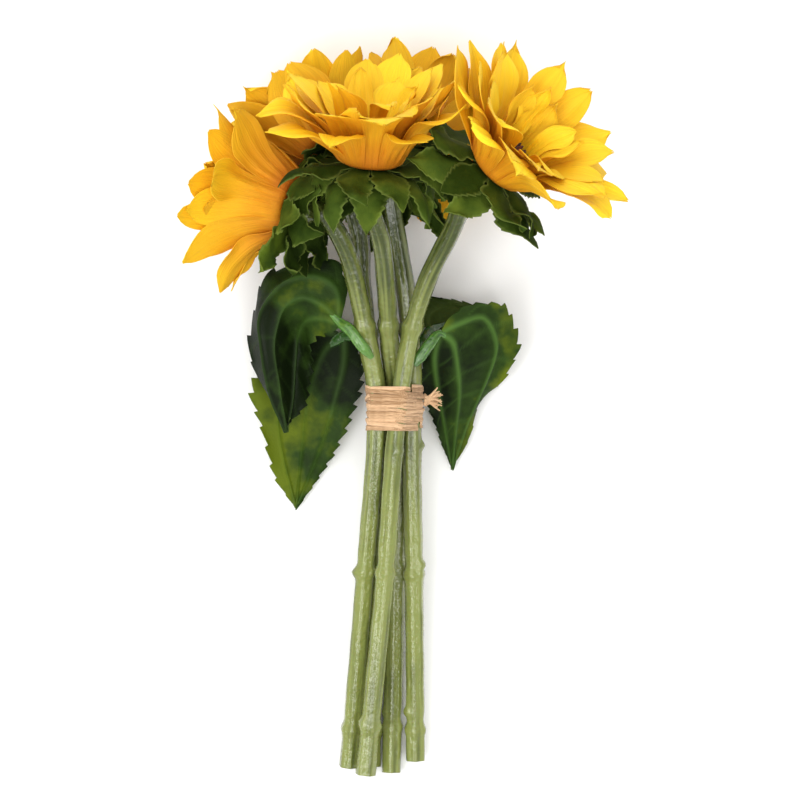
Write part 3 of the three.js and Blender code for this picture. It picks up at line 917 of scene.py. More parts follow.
    def at(self, number: int, azimuth: np.ndarray, share: np.ndarray) -> tuple[np.ndarray, ...]:
        """Radius, height and elevation on a layer.

        Args:
            number: The layer's number.
            azimuth: Azimuths in radians.
            share: Shares of the longest petal's length.

        Returns:
            The three quantities, each an array.
        """
        run = self.runs[number]
        a = (azimuth / TAU % 1) * AZIMUTHS
        i = np.clip(share * BEND_STEPS, 0, BEND_STEPS - 1e-6)
        a0, i0 = np.floor(a).astype(int), np.floor(i).astype(int)
        fa, fi = a - a0, i - i0
        a0, a1 = a0 % AZIMUTHS, (a0 + 1) % AZIMUTHS
        near = run[:, a0, i0] * (1 - fi) + run[:, a0, i0 + 1] * fi
        far = run[:, a1, i0] * (1 - fi) + run[:, a1, i0 + 1] * fi
        return tuple(near * (1 - fa) + far * fa)

    def point(self, azimuth: np.ndarray, r: np.ndarray, h: np.ndarray) -> np.ndarray:
        """The points at azimuths, radii and heights, as rows on the bunch's rule."""
        return self.root + self.radial(azimuth) * r[:, None] + self.axis * h[:, None]


class PetalTip(Enum):
    """How the die ends a petal: the places of its points across, and how deep it cuts between them."""

    POINTED = ((0.0,), 0.1)
    FORKED = ((-0.35, 0.55), 0.11)
    TRIPLE = ((-0.62, 0.05, 0.7), 0.09)


@dataclass(frozen=True)
class Die:
    """What cuts and presses petals or sepals. Angles are in degrees and shares are of a petal's length.

    across and along are the faces of the blank. first_mark and draws, which are for the drift, the curl and
    the tint, say where its repeatable numbers come from. drift is how far a tip turns aside. lengths are the
    mean length and its range, and width_range is the range of the width. A petal curls off its layer by
    curl, from curl_from on, with curl_arm as the lever. stagger_mm is how far every second one stands off
    the next at the root, and how much more at the tip. The pale edge is how far the cut edge takes the colour
    of the veins, partly as painted sheen along the edges.
    """

    across: int
    along: int
    first_mark: int
    draws: tuple[int, int, int]
    drift: float
    lengths: Pair
    width_range: float
    curl: float
    curl_from: float
    curl_arm: float
    stagger_mm: Pair
    cloth_mm: float
    pale_edge_and_sheen: float
    wave_mm: float = 2.6

    def bend(self, v: np.ndarray, mark: float) -> np.ndarray:
        """How far a petal curls off its layer at v along, as a share of its length."""
        curl = math.radians(self.curl * wobble(mark, self.draws[1])) * self.curl_arm
        return curl * np.clip((v - self.curl_from) / (1 - self.curl_from), 0, 1) ** 2


@dataclass(frozen=True)
class PetalDie(Die):
    """The petals' die, with ridges, a keel, a wave along the edges and a twist.

    base is the width at the root and blunt at the tip, as shares of the greatest, which is at widest. The
    keel is bent up by keel, a mean and a range.
    """

    base: float = 0.44
    widest: float = 0.58
    blunt: float = 0.1
    ridge_mm: float = 0.6
    keel: Pair = (6, 18)
    twist: float = 34
    sway: float = 15

    def half_width(self, v: np.ndarray, width: float) -> np.ndarray:
        """Half the width at v along, in millimetres.

        Args:
            v: Places along, 0 to 1.
            width: The greatest width.

        Returns:
            Half the width at each place.
        """
        rise = self.base + (1 - self.base) * np.sin(math.pi / 2 * np.clip(v / self.widest, 0, 1)) ** 1.1
        t = np.clip((v - self.widest) / (1 - self.widest), 0, 1)
        fall = self.blunt + (1 - self.blunt) * (1 - t ** 2.1) ** 0.72
        return 0.5 * width * np.where(v < self.widest, rise, fall)

    def reach(self, u: np.ndarray, v: np.ndarray, mark: float) -> np.ndarray:
        """How far along the petal a point lies, with the tip's points cut."""
        places, depth = list(PetalTip)[int(1.5 + 1.5 * wobble(mark, 14)) % 3].value
        drop = np.min([np.abs(u - p) for p in places], axis=0)
        return v - v ** 7 * depth * drop

    def bend(self, v: np.ndarray, mark: float) -> np.ndarray:
        """How far a petal curls and sways off its layer at v along, as a share of its length."""
        return super().bend(v, mark) + math.radians(self.sway * wobble(mark, 18)) * v ** 1.3

    def relief(self, u: np.ndarray, v: np.ndarray, half: np.ndarray, mark: float) -> np.ndarray:
        """How far the petal stands off its layer, in millimetres.

        Args:
            u: Each vertex's place across, -1 to 1.
            v: Its place along, 0 to 1.
            half: Half the width there, in millimetres.
            mark: The petal's own number.

        Returns:
            The height of the pressed relief at each vertex.
        """
        phase = 0.8 * wobble(mark, 19)
        fold = np.cos(3 * math.pi * u + phase) + 0.5 * np.cos(5.3 * math.pi * u - 2 * phase)
        ridges = self.ridge_mm * fold * smoothstep(0.0, 0.25, v) * (1 - 0.6 * v ** 2)
        mean, spread = self.keel
        keel = np.abs(u - 0.3 * phase) * half * math.tan(math.radians(mean + spread * wobble(mark, 11)))
        hand = np.where(u > 0, 1.0, 1.7 + wobble(mark, 20))
        ripple = np.sin(TAU * (1.5 * v + 0.5 * wobble(mark, 12)) + hand)
        wave = self.wave_mm * (1 + 0.5 * wobble(mark, 32)) * u ** 2 * ripple * smoothstep(0.15, 0.7, v)
        twist = u * half * v * math.tan(math.radians(self.twist * wobble(mark, 13)))
        return ridges + keel * smoothstep(0, 0.4, v) + wave + twist


@dataclass(frozen=True)
class SepalDie(Die):
    """The sepals' die, with a toothed edge, a fold down the middle, a wave along the edges and a twist.

    tooth is how deep the teeth are cut, as a share of the width. The fold is a mean and a range.
    """

    teeth: int = 9
    tooth: float = 0.2
    fold: Pair = (12, 12)
    twist: float = 45

    def half_width(self, v: np.ndarray, width: float) -> np.ndarray:
        """Half the width at v along, in millimetres.

        Args:
            v: Places along, 0 to 1.
            width: The greatest width.

        Returns:
            Half the width at each place.
        """
        body = np.sin(math.pi * v ** 0.62) ** 0.85
        body = np.maximum(body, 0.55 * (1 - v) ** 2.5 + 0.02)
        teeth = 1 - self.tooth * smoothstep(0.2, 0.4, v) * (v * self.teeth % 1)
        return 0.5 * width * body * teeth

    def reach(self, u: np.ndarray, v: np.ndarray, mark: float) -> np.ndarray:
        """How far along the sepal a point lies: its tip isn't cut."""
        return v

    def relief(self, u: np.ndarray, v: np.ndarray, half: np.ndarray, mark: float) -> np.ndarray:
        """How far the sepal stands off its layer, in millimetres.

        Args:
            u: Each vertex's place across, -1 to 1.
            v: Its place along, 0 to 1.
            half: Half the width there, in millimetres.
            mark: The sepal's own number.

        Returns:
            The height of the pressed relief at each vertex.
        """
        twist = u * half * v * math.tan(math.radians(self.twist * wobble(mark, 27)))
        mean, spread = self.fold
        fold = np.abs(u) * half * math.tan(math.radians(mean + spread * wobble(mark, 21)))
        ripple = np.sin(TAU * (1.6 * v + wobble(mark, 22)) + 2 * u)
        return twist - fold + self.wave_mm * u ** 2 * ripple * smoothstep(0.1, 0.5, v)


PETAL_DIE = PetalDie(
    across=12, along=22, first_mark=0, draws=(15, 16, 17), drift=11, lengths=(0.94, 0.06), width_range=0.12,
    curl=70, curl_from=0.45, curl_arm=0.22, stagger_mm=(0.6, 4.0), cloth_mm=0.35, pale_edge_and_sheen=0)
SEPAL_DIE = SepalDie(
    across=10, along=34, first_mark=500, draws=(25, 26, 23), drift=22, lengths=(0.95, LENGTH_RANGE),
    width_range=0, curl=110, curl_from=0.3, curl_arm=0.26, stagger_mm=(0.5, 3.0), cloth_mm=0.4,
    pale_edge_and_sheen=0.35)


@dataclass(frozen=True)
class SeedDisc:
    """The domed seed disc with its tufts in spirals, in millimetres.

    profile is the dome's outline: heights and radii as shares of rise and radius. splay is how far the
    outermost tufts lean, in radians, and spiral the angle from one tuft to the next.
    """

    radius: float = 10.0
    rise: float = 9.0
    base: float = 3 * LAYER_PITCH - 0.6
    sides: int = 24
    profile: tuple[Pair, ...] = (
        (0, 0.2), (0, 0.97), (0.18, 1), (0.5, 0.9), (0.78, 0.68), (0.95, 0.36), (1, 0.05))
    tufts: int = 150
    spiral: float = 2.39996
    splay: float = 1.15
    tuft_length: float = 2.6
    tuft_radius: float = 0.75
    tuft_tip: float = 0.08

    def dome(self, layers: NestedLayers) -> Object:
        """Makes the dome under the tufts.

        Args:
            layers: The flower's layers, for its axis and root.

        Returns:
            The dome.
        """
        around = np.arange(self.sides) * TAU / self.sides
        rings = []
        for height, width in self.profile:
            radii = np.full(self.sides, self.radius * width)
            rings.append(layers.point(around, radii, np.full(self.sides, self.base + self.rise * height)))
        dome = tube("dome", np.array(rings))
        set_tint(dome, -1)
        return dome

    def tuft(self, number: int, blank: Object, u: np.ndarray, v: np.ndarray,
             layers: NestedLayers) -> Object:
        """Rolls a copy of a blank into one tuft and stands it on the dome.

        Args:
            number: The tuft's number, from the middle outwards.
            blank: The flat sheet.
            u: Each vertex's place across, -1 to 1.
            v: Its place along, 0 to 1.
            layers: The flower's layers, for its axis and root.

        Returns:
            The tuft.
        """
        spread = math.sqrt((number + 0.5) / self.tufts)
        lean = spread * self.splay
        foot = self.radius * math.sin(min(spread * math.pi / 2, 1.5))
        top = self.base + self.rise * math.cos(spread * math.pi / 2) ** 0.8
        size = self.tuft_radius * np.cos(v * math.pi / 2 * 0.9) + self.tuft_tip
        around = u * math.pi
        out = foot + math.sin(lean) * self.tuft_length * v + size * np.cos(around) * math.cos(lean)
        up = top + math.cos(lean) * self.tuft_length * v - size * np.cos(around) * math.sin(lean)
        outward = layers.radial(np.array([number * self.spiral]))[0]
        across = np.cross(layers.axis, outward)
        tuft = copy_of(blank)
        lay(tuft, layers.root + out[:, None] * outward + up[:, None] * layers.axis
            + (size * np.sin(around))[:, None] * across)
        set_tint(tuft, wobble(number, 31))
        return tuft


class SunflowerHead:
    """The petals, sepals and seed disc of one sunflower."""

    def __init__(self, flower: Flower, number: int) -> None:
        """Works out the head's surfaces.

        Args:
            flower: The flower.
            number: Its number, for its own repeatable numbers.
        """
        self.flower = flower
        self.number = number
        self.layers = NestedLayers(flower)

    def seed(self, k: int) -> int:
        """The series of repeatable numbers for layer k."""
        return self.number * len(LAYERS) + k + 1

    def azimuth(self, k: int, index: int) -> float:
        """The azimuth of a petal, in radians."""
        scatter = SCATTER * wobble(index, self.seed(k))
        return math.radians(self.flower.turn + scatter) + TAU / LAYERS[k].count * (index + 0.5 * k)

    def room(self, k: int, azimuth: np.ndarray, share: np.ndarray, r: np.ndarray, h: np.ndarray,
             angle: np.ndarray) -> tuple[np.ndarray, np.ndarray]:
        """How far a layer may stray outwards and inwards before it meets the next layers.

        Args:
            k: The layer's number.
            azimuth: The azimuth at every vertex.
            share: Its place along, as a share of the layer's length.
            r: The layer's radius there.
            h: Its height.
            angle: Its elevation.

        Returns:
            The room outwards and the room inwards, in millimetres.
        """
        rooms = []
        for beside, sign in ((k - 1, -1), (k + 1, 1)):
            if not 0 <= beside < len(LAYERS):
                rooms.append(np.full(len(r), MOST_STRAY))
                continue
            at = np.clip(share * LAYERS[k].length / LAYERS[beside].length, 0, 1)
            other_r, other_h, _ = self.layers.at(beside, azimuth, at)
            gap = (other_h - h) * np.cos(angle) - (other_r - r) * np.sin(angle)
            rooms.append(np.clip(0.5 * sign * gap, LEAST_STRAY, MOST_STRAY))
        return rooms[0], rooms[1]

    def drape(self, k: int, azimuth: np.ndarray, u: np.ndarray, share: np.ndarray, half: np.ndarray,
              off: np.ndarray) -> np.ndarray:
        """Lays a petal or sepal on its layer.

        Args:
            k: The layer's number.
            azimuth: The azimuth of its middle line at every vertex.
            u: Each vertex's place across, -1 to 1.
            share: Its place along, with what is below 0 on the ring.
            half: The half width there, in millimetres.
            off: How far it wants to stand off the layer, in millimetres.

        Returns:
            The points, as rows.
        """
        layer = LAYERS[k]
        along = np.clip(share, 0, 1)
        r0, _, _ = self.layers.at(k, azimuth, along)
        azimuth = azimuth + u * np.minimum(half / r0, SECTOR_FILL * TAU / layer.count)
        r, h, angle = self.layers.at(k, azimuth, along)
        below, above = self.room(k, azimuth, along, r, h, angle)
        limit = np.where(off > 0, above, below)
        off = limit * np.tanh(off / limit) * smoothstep(-0.1, 0.15, share)
        on_ring = np.clip(-share / CLAW, 0, 1)
        r = (r - off * np.sin(angle)) * (1 - on_ring) + HUB_HOLE * on_ring
        h = h + off * np.cos(angle)
        return self.layers.point(azimuth, r, h)

    def cloth(self, k: int, die: PetalDie | SepalDie, size: float, faces: tuple[Finish, Finish],
              wardrobe: Wardrobe) -> Object:
        """Cuts, drapes and dresses one layer of petals or sepals.

        Args:
            k: The layer's number.
            die: What cuts and presses them.
            size: Their length, as a share of what the die cuts.
            faces: The finishes of the two faces.
            wardrobe: Where the materials come from.

        Returns:
            The layer in one piece.
        """
        layer = LAYERS[k]
        blank, u, v = sheet("blank", die.across, die.along)
        v = v * (1 + CLAW) - CLAW
        body = np.clip(v, 0, 1)
        half = die.half_width(body, layer.width)
        # The paler band along the sepals' edges is partly painted sheen.
        if die.pale_edge_and_sheen:
            set_tint(blank, die.pale_edge_and_sheen * smoothstep(0.84, 1, np.abs(u)), "vein")
        cut = []
        for index in range(layer.count):
            mark = self.seed(k) * MARKS_A_LAYER + index + die.first_mark
            drift = math.radians(die.drift) * wobble(mark, die.draws[0])
            azimuth = self.azimuth(k, index) + drift * body ** 1.5
            length = (die.lengths[0] + die.lengths[1] * wobble(index, self.seed(k) + 2)) * size
            share = np.where(v < 0, v, die.reach(u, body, mark) * length)
            wide = half * (1 + die.width_range * wobble(mark, 33))
            stagger = (index % 2 - 0.5) * (die.stagger_mm[0] + die.stagger_mm[1] * body)
            off = die.relief(u, body, half, mark) + layer.length * die.bend(body, mark) + stagger
            petal = copy_of(blank)
            lay(petal, self.drape(k, azimuth, u, share, wide, off))
            set_tint(petal, wobble(mark, die.draws[2]))
            shift_uv(petal, index)
            cut.append(petal)
        bpy.data.objects.remove(blank)
        piece = join(cut, f"{self.flower.name}_{layer.name}_cloth")
        wardrobe.dress(piece, *faces)
        thicken(piece, die.cloth_mm)
        smooth(piece, CLOTH_ANGLE)
        return piece

    def seed_disc(self, wardrobe: Wardrobe) -> Object:
        """Makes the seed disc in one piece.

        Args:
            wardrobe: Where the materials come from.

        Returns:
            The disc with its tufts.
        """
        disc = SeedDisc()
        dome = disc.dome(self.layers)
        blank, u, v = sheet("tuft_blank", 5, 3)
        tufts = [disc.tuft(i, blank, u, v, self.layers) for i in range(disc.tufts)]
        bpy.data.objects.remove(blank)
        piece = join([dome, *tufts], f"{self.flower.name}_seed_disc_flock")
        close_up(piece, DISC_WELD)
        wardrobe.dress(piece, Finish.SEED)
        smooth(piece, MOULDED_ANGLE)
        return piece

    def build(self, wardrobe: Wardrobe) -> None:
        """Makes every piece of the head.

        Args:
            wardrobe: Where the materials come from.
        """
        name = self.flower.name
        petal_size, sepal_size = self.flower.sizes
        for k, layer in enumerate(LAYERS):
            if layer.level < 0:
                piece = self.cloth(k, SEPAL_DIE, sepal_size, (Finish.SEPAL, Finish.SEPAL_BACK), wardrobe)
                slot = "sepal"
            else:
                inner = layer.name == "petals_inner"
                face = Finish.INNER if inner else Finish.PETAL
                piece = self.cloth(k, PETAL_DIE, petal_size, (Finish.PETAL_BACK, face), wardrobe)
                slot = "petal_inner" if inner else "petal"
            show(piece, slot, f"{name}_{layer.name}")
        show(self.seed_disc(wardrobe), "seed_disc", f"{name}_seed_disc")


# ---------------------------------------------------------------- stems
STEM_ROUTES: dict[str, tuple[Triple, ...]] = {
    "right": ((-15.4, 0, 14), (-11, 45, 21.8), (-6.6, 90, 29.6), (-2, 150, 38.2), (0.6, 172, 41),
              (5.3, 198, 46.5), (13, 222, 57), (23, 242, 70)),
    "left": ((-22.9, 3, 6), (-19.4, 45, 14.2), (-15.6, 90, 22.2), (-10.6, 150, 33.2), (-10.6, 172, 37),
             (-14.5, 193, 43.5), (-18, 212, 51), (-22.5, 230, 59), (-27.5, 241, 64)),
    "back": ((6.8, 6, 7), (6.6, 45, 13.4), (6.1, 90, 20.6), (5.2, 150, 29.2), (5.6, 172, 31.5),
             (4.4, 195, 33.7), (2.2, 218, 36.5), (-2, 243, 39.5)),
    "front": ((-4, 0.4, 4.7), (-2.8, 45, 6.6), (-1.8, 90, 12.2), (-0.4, 150, 22.2), (-2.4, 172, 28),
              (-4.8, 195, 38.6), (-6, 215, 51.5), (-8.5, 238, 70)),
    "upper": ((-13.2, 3, 4.7), (-12.4, 45, 6.6), (-10.9, 90, 12.2), (-9.3, 150, 23.4), (-10.8, 172, 27.4),
              (-14.2, 195, 31), (-17, 218, 34), (-18.4, 243, 36.6)),
}
# Where leaves were snapped off a stem: the place along it, the angle round it from +X in degrees, the height.
STUBS: dict[str, tuple[Triple, ...]] = {
    "right": ((145, -60, 1.5), (24, 200, 1.2)),
    "front": ((89, -25, 1.9), (27, 180, 1.3)),
    "back": ((147, 0, 1.6), (94, -20, 2.2), (28, 200, 1.5)),
    "left": ((90, 200, 1.4), (24, -10, 1.5)),
    "upper": ((92, 90, 1.4),),
}


@dataclass(frozen=True)
class Stem:
    """A moulded stem with grooves, node rings and the stubs of leaves. Lengths are in millimetres.

    reaches are how far under the head the route's last points lie, and the cup widens from cup_from on, a
    share of the stem's length. The foot is thicker by foot_swell up to foot_height. Each node is a bead of
    swell and a neck above it, and strays along the stem by up to node_scatter.
    """

    flower: Flower
    radius: float = 4.1
    sides: int = 32
    stations: int = 190
    reaches: Pair = (15, 5.5)
    foot_swell: float = 0.25
    foot_height: float = 60
    nodes: tuple[float, ...] = (20.0, 91.0, 198.0)
    node_scatter: float = 2.5
    swell: float = 0.9
    bead_width: float = 2.2
    neck: float = 0.35
    neck_above: float = 4
    neck_width: float = 3
    cup_from: float = 0.965
    cup_swell: float = 3.4
    grooves: int = 6
    groove_depth: float = 0.055
    flat_depth: float = 0.035
    spin: float = 0.9
    stub_height: float = 1.9
    stub_angle: float = 0.55
    painted_shade_from: float = 178

    def radii(self, path: np.ndarray, mark: float) -> np.ndarray:
        """The stem's radius at every point, before grooves and stubs.

        Args:
            path: The middle line, as rows.
            mark: The stem's own number.

        Returns:
            The radii, in millimetres.
        """
        y = path[:, 1]
        share = np.linspace(0, 1, len(path))
        radius = self.radius + self.foot_swell * np.clip(1 - y / self.foot_height, 0, 1)
        for number, node in enumerate(self.nodes):
            at = node + self.node_scatter * wobble(number, mark)
            bead = bump(y, at, self.bead_width)
            radius = radius + self.swell * bead - self.neck * bump(y - at, self.neck_above, self.neck_width)
        radius = radius + self.cup_swell * smoothstep(self.cup_from, 1.0, share) ** 2
        return radius * (1 + 0.02 * np.sin(share * 90 + mark))

    def rings(self, path: np.ndarray, mark: float) -> np.ndarray:
        """The stem's section at every point, with grooves and stubs, as [station, side, xyz].

        Args:
            path: The middle line, as rows.
            mark: The stem's own number.

        Returns:
            The points of the section at every station.
        """
        _, side, normal = frames_along(path, (1, 0, 0))
        share = np.linspace(0, 1, len(path))
        around = np.arange(self.sides) * TAU / self.sides
        spin = around[None, :] + self.spin * share[:, None] + mark
        groove = 1 + self.groove_depth * np.cos(self.grooves * spin)
        groove = groove + self.flat_depth * np.cos(3 * spin + 1.3)
        ring = self.radii(path, mark)[:, None] * groove
        for y, angle, height in STUBS[self.flower.name]:
            off = (around - math.radians(angle) + math.pi) % TAU - math.pi
            along = bump(path[:, 1], y, self.stub_height)
            ring = ring + height * np.outer(along, bump(off, 0, self.stub_angle))
        outward = (np.cos(around)[None, :, None] * normal[:, None, :]
                   + np.sin(around)[None, :, None] * side[:, None, :])
        points = path[:, None, :] + ring[..., None] * outward
        rounded = path[0] + (points[0] - path[0]) * 0.8 - 0.15 * unit(path[1] - path[0])
        return np.array([rounded, *points])

    def build(self, wardrobe: Wardrobe) -> None:
        """Makes the stem up to its cup under the sepals.

        Args:
            wardrobe: Where the materials come from.
        """
        root, axis, _, _ = self.flower.basis()
        name = self.flower.name
        mark = len(name) + self.flower.turn
        path = spline([*STEM_ROUTES[name], *(root - reach * axis for reach in self.reaches)], self.stations)
        stem = tube(f"{name}_stem_moulding", self.rings(path, mark))
        # Painted shade: the stem is painted a little lighter up to just above the tie and darker over the
        # next 60 mm towards the heads, under the leaves and sepals.
        top = place(np.array([[0, self.painted_shade_from, 0]]))[0, 1] / MM
        heights = coordinates(stem)[:, 1] / MM
        set_tint(stem, 0.4 - 1.1 * smoothstep(0, 60, heights - top))
        wardrobe.dress(stem, Finish.STEM)
        smooth(stem, MOULDED_ANGLE)
        show(stem, "stem", f"{name}_stem")


# ---------------------------------------------------------------- leaves
@dataclass(frozen=True)
class Leaf:
    """A serrated leaf blade on its petiole. Lengths are in millimetres.

    lines are the five lines that the blade is stretched over, from the petiole towards the tip, where they
    all end: the margin on the left hand of one who walks there, the vein beside it, the midrib, and the vein
    and margin on the right. The shading numbers are painted light and shade: how light the blade is painted
    at the petiole and at the tip, and how much more so on the right, for the shade that falls on it among the
    stems and heads. tooth is how deep the teeth are cut, as a share of the width, and pairs how many
    pairs of side veins there are.
    """

    name: str
    petiole: tuple[Triple, ...]
    tip: Triple
    lines: tuple[tuple[Triple, ...], ...]
    painted_shading: Triple
    teeth: int = 12
    tooth: float = 0.13
    across: int = 40
    along: int = 84
    pairs: int = 6
    cloth_mm: float = 0.5
    main_vein: float = 0.9
    side_vein: float = 0.5
    quilting: float = 0.9
    ripple: float = 1.6

    def stretched(self, u: np.ndarray, v: np.ndarray) -> tuple[np.ndarray, np.ndarray]:
        """Stretches the blade over its lines.

        Args:
            u: Each vertex's place across, -1 to 1.
            v: Its place along, 0 to 1.

        Returns:
            The points, as rows, and how far each is from the nearest of the three inner lines.
        """
        station = np.rint(v * self.along).astype(int)
        lines = np.array([spline([*line, self.tip], self.along) for line in self.lines])
        lines = np.concatenate([2 * lines[:1] - lines[1:2], lines, 2 * lines[-1:] - lines[-2:-1]])
        saw = self.tooth * (v * self.teeth % 1) * smoothstep(0.8, 1.0, np.abs(u)) * smoothstep(0.04, 0.12, v)
        place_across = 2 * (u * (1 - saw) + 1)
        cell = np.clip(np.floor(place_across).astype(int), 0, 3)
        t = (place_across - cell)[:, None]
        a, b, c, d = (lines[cell + k, station] for k in range(4))
        points = b + 0.5 * t * (c - a + t * (2 * a - 5 * b + 4 * c - d + t * (3 * (b - c) + d - a)))
        off = np.min([np.linalg.norm(points - lines[k, station], axis=1) for k in (2, 3, 4)], axis=0)
        return points, off

    def blade(self, wardrobe: Wardrobe) -> Object:
        """Makes the blade, with its veins standing up and the fields between them quilted.

        Args:
            wardrobe: Where the materials come from.

        Returns:
            The blade.
        """
        blade, u, v = sheet(f"{self.name}_leaf_cloth", self.across, self.along)
        points, off = self.stretched(u, v)
        main = bump(off, 0, 0.45 + 1.2 * (1 - v) ** 1.5)
        beat = np.abs((self.pairs * (v - 0.22 * np.abs(u)) + 0.5) % 1 - 0.5)
        side = 0.25 * bump(beat, 0, 0.05)
        lay(blade, points)
        normals = np.zeros(3 * len(u))
        blade.data.vertices.foreach_get("normal", normals)
        ripple = self.ripple * u ** 4 * np.sin(TAU * 3.1 * v + 2 * u + len(self.name))
        relief = (self.main_vein * main + self.side_vein * side + self.quilting * np.minimum(beat, 0.25)
                  + ripple * smoothstep(0.1, 0.3, v))
        lay(blade, points + normals.reshape(-1, 3) * (relief * smoothstep(0, 0.1, v))[:, None])
        # Painted light and shade: the blade is painted darker and lighter along and across it for the shade
        # that falls on it, and its veins show less where it is painted dark.
        base, tip, right = self.painted_shading
        set_tint(blade, base + (tip - base) * smoothstep(0.15, 0.6, v) + right * u)
        vein_under_painted_shade = np.clip(1 + 0.45 * min(base, tip), 0.25, 0.8)
        set_tint(blade, vein_under_painted_shade * np.maximum(main * (1 - 0.5 * v), side), "vein")
        wardrobe.dress(blade, Finish.LEAF, Finish.LEAF_BACK)
        thicken(blade, self.cloth_mm)
        smooth(blade, CLOTH_ANGLE)
        return blade

    def stalk(self, wardrobe: Wardrobe) -> Object:
        """Makes the petiole, with a clasp at the stem.

        Args:
            wardrobe: Where the materials come from.

        Returns:
            The petiole.
        """
        midrib = self.lines[2]
        path = spline([*self.petiole, midrib[0], midrib[1]], 28)
        _, side, normal = frames_along(path, (0, 0, 1))
        share = np.linspace(0, 1, len(path))
        radius = 0.7 + 1.9 * smoothstep(-0.1, 0.2, share) * (1 - smoothstep(0.55, 1, share))
        around = np.arange(14) * TAU / 14
        groove = 1 - 0.25 * bump(around, math.pi / 2, 0.4)
        reach = radius[:, None] * groove[None, :]
        rings = (path[:, None, :] + (reach * np.cos(around))[..., None] * side[:, None, :]
                 + (reach * np.sin(around))[..., None] * normal[:, None, :])
        petiole = tube(f"{self.name}_petiole_moulding", rings)
        # Painted shade: the petiole takes the blade's painted shading at its foot.
        set_tint(petiole, self.painted_shading[0])
        wardrobe.dress(petiole, Finish.PETIOLE)
        smooth(petiole, MOULDED_ANGLE)
        return petiole

    def build(self, wardrobe: Wardrobe) -> None:
        """Makes the blade and the petiole."""
        show(self.blade(wardrobe), "leaf", f"{self.name}_leaf_blade")
        show(self.stalk(wardrobe), "petiole", f"{self.name}_leaf_petiole")


# The last tuple of each leaf is painted light and shade: the hanging part of left_upper, the foot of
# left_lower, the right leaf and the whole leaf behind the stems are painted dark where shade falls on them.
LEAVES = (
    Leaf("left_upper", ((-12.4, 186, 46.6), (-17.5, 192, 50), (-22.5, 198.5, 49)), (-50.6, 153, 31),
         (((-26, 200, 45.6), (-31, 196, 42.5), (-37, 193, 37), (-39, 182, 33), (-39.6, 168, 31.5),
           (-45, 161, 31)),
          ((-26, 200.6, 45.7), (-33, 203, 43.5), (-40.5, 203, 40), (-45.5, 195, 30), (-47, 182, 26.5),
           (-48, 167, 28)),
          ((-26.4, 201.3, 45.7), (-34, 209, 45), (-44, 212.5, 44.5), (-51.5, 208, 43.5), (-56, 193, 43),
           (-54, 174, 37)),
          ((-26.6, 202, 45.6), (-29, 217, 44.5), (-39.5, 222, 44), (-51.5, 219, 42), (-61.5, 205, 39.5),
           (-61, 189, 38), (-57, 169, 34)),
          ((-26, 203, 45.3), (-23.3, 218, 43), (-27.5, 230, 42), (-38, 232, 42), (-47, 228, 40.5),
           (-59, 222, 33), (-68, 198, 25), (-63, 180, 26), (-58, 167, 28))),
         (0.3, -1.6, -0.3)),
    Leaf("left_lower", ((-18.9, 195.2, 30), (-21.4, 195.8, 28.6)), (-46.6, 118.2, 2.6),
         (((-24.8, 196, 26.6), (-17, 189, 22), (-15, 178, 19), (-20, 161, 15), (-27.5, 145, 10.5),
           (-37.5, 130, 6)),
          ((-24.8, 196, 26.6), (-25, 184, 20.5), (-29, 168, 15.5), (-34, 150, 10.5)),
          ((-24.8, 196, 26.6), (-33, 190, 21), (-40.5, 170, 14.5), (-43.5, 147, 8.5)),
          ((-24.8, 196, 26.6), (-42, 197, 21), (-54, 178, 14.5), (-54, 152, 9.5)),
          ((-24.8, 196, 26.6), (-43, 205, 23), (-60, 192, 18), (-68, 172, 15), (-62.5, 154, 11.5),
           (-57.5, 134, 7))),
         (-1.7, 1.3, 0.9), teeth=15, tooth=0.13),
    Leaf("right", ((6.4, 182.4, 42.6), (9.5, 187, 42.2), (13.4, 192.4, 41)), (23.3, 136.4, 4),
         (((17.6, 196.7, 38.5), (22, 204, 41), (29, 209.5, 42), (38, 211, 37), (46.6, 210.3, 31),
           (54.6, 192.3, 22), (50.6, 185, 18.5), (45.8, 176, 14), (37, 166.3, 9.5), (32.6, 156.2, 6.5)),
          ((17.6, 196.7, 38.5), (27, 201.6, 38), (36.5, 204, 35), (42.7, 192, 27), (38.3, 176, 18.5),
           (29.9, 157, 10.5)),
          ((17.6, 196.7, 38.5), (22.9, 193.6, 36.5), (25.4, 182.6, 29.5), (26.4, 169.4, 20),
           (25, 154, 11.5)),
          ((17.6, 196.7, 38.5), (15.4, 188, 32), (17, 171.6, 19.5), (20, 155, 11)),
          ((17.6, 196.7, 38.5), (11, 186.4, 31), (8.4, 173.8, 21), (13.2, 160.6, 15), (17.6, 149.6, 9.5))),
         (-0.5, -0.1, -0.9), teeth=17, tooth=0.1),
    Leaf("behind", ((8.2, 190, 28.3), (10.6, 194, 25.6)), (43, 199, 6),
         (((13.8, 198.1, 20.9), (16, 192, 18), (26, 190, 12), (38, 192, 7)),
          ((13.8, 198.1, 20.9), (19, 197, 17.5), (29, 196, 12)),
          ((13.8, 198.1, 20.9), (20, 201.5, 17), (30, 203, 12)),
          ((13.8, 198.1, 20.9), (14, 206, 18), (26, 209, 13)),
          ((13.8, 198.1, 20.9), (4, 205, 19), (7, 212.5, 17), (22, 212.5, 14), (36, 209, 9))),
         (-2.4, -2.4, 0)),
)


# ---------------------------------------------------------------- the raffia tie
FLAT_STRAND = ((-1, 0), (-0.6, 0.9), (0, 1.1), (0.6, 0.9), (1, 0), (0, -0.6))
THIN_STRAND = ((-1, 0), (0, 0.5), (1, 0), (0, -0.5))


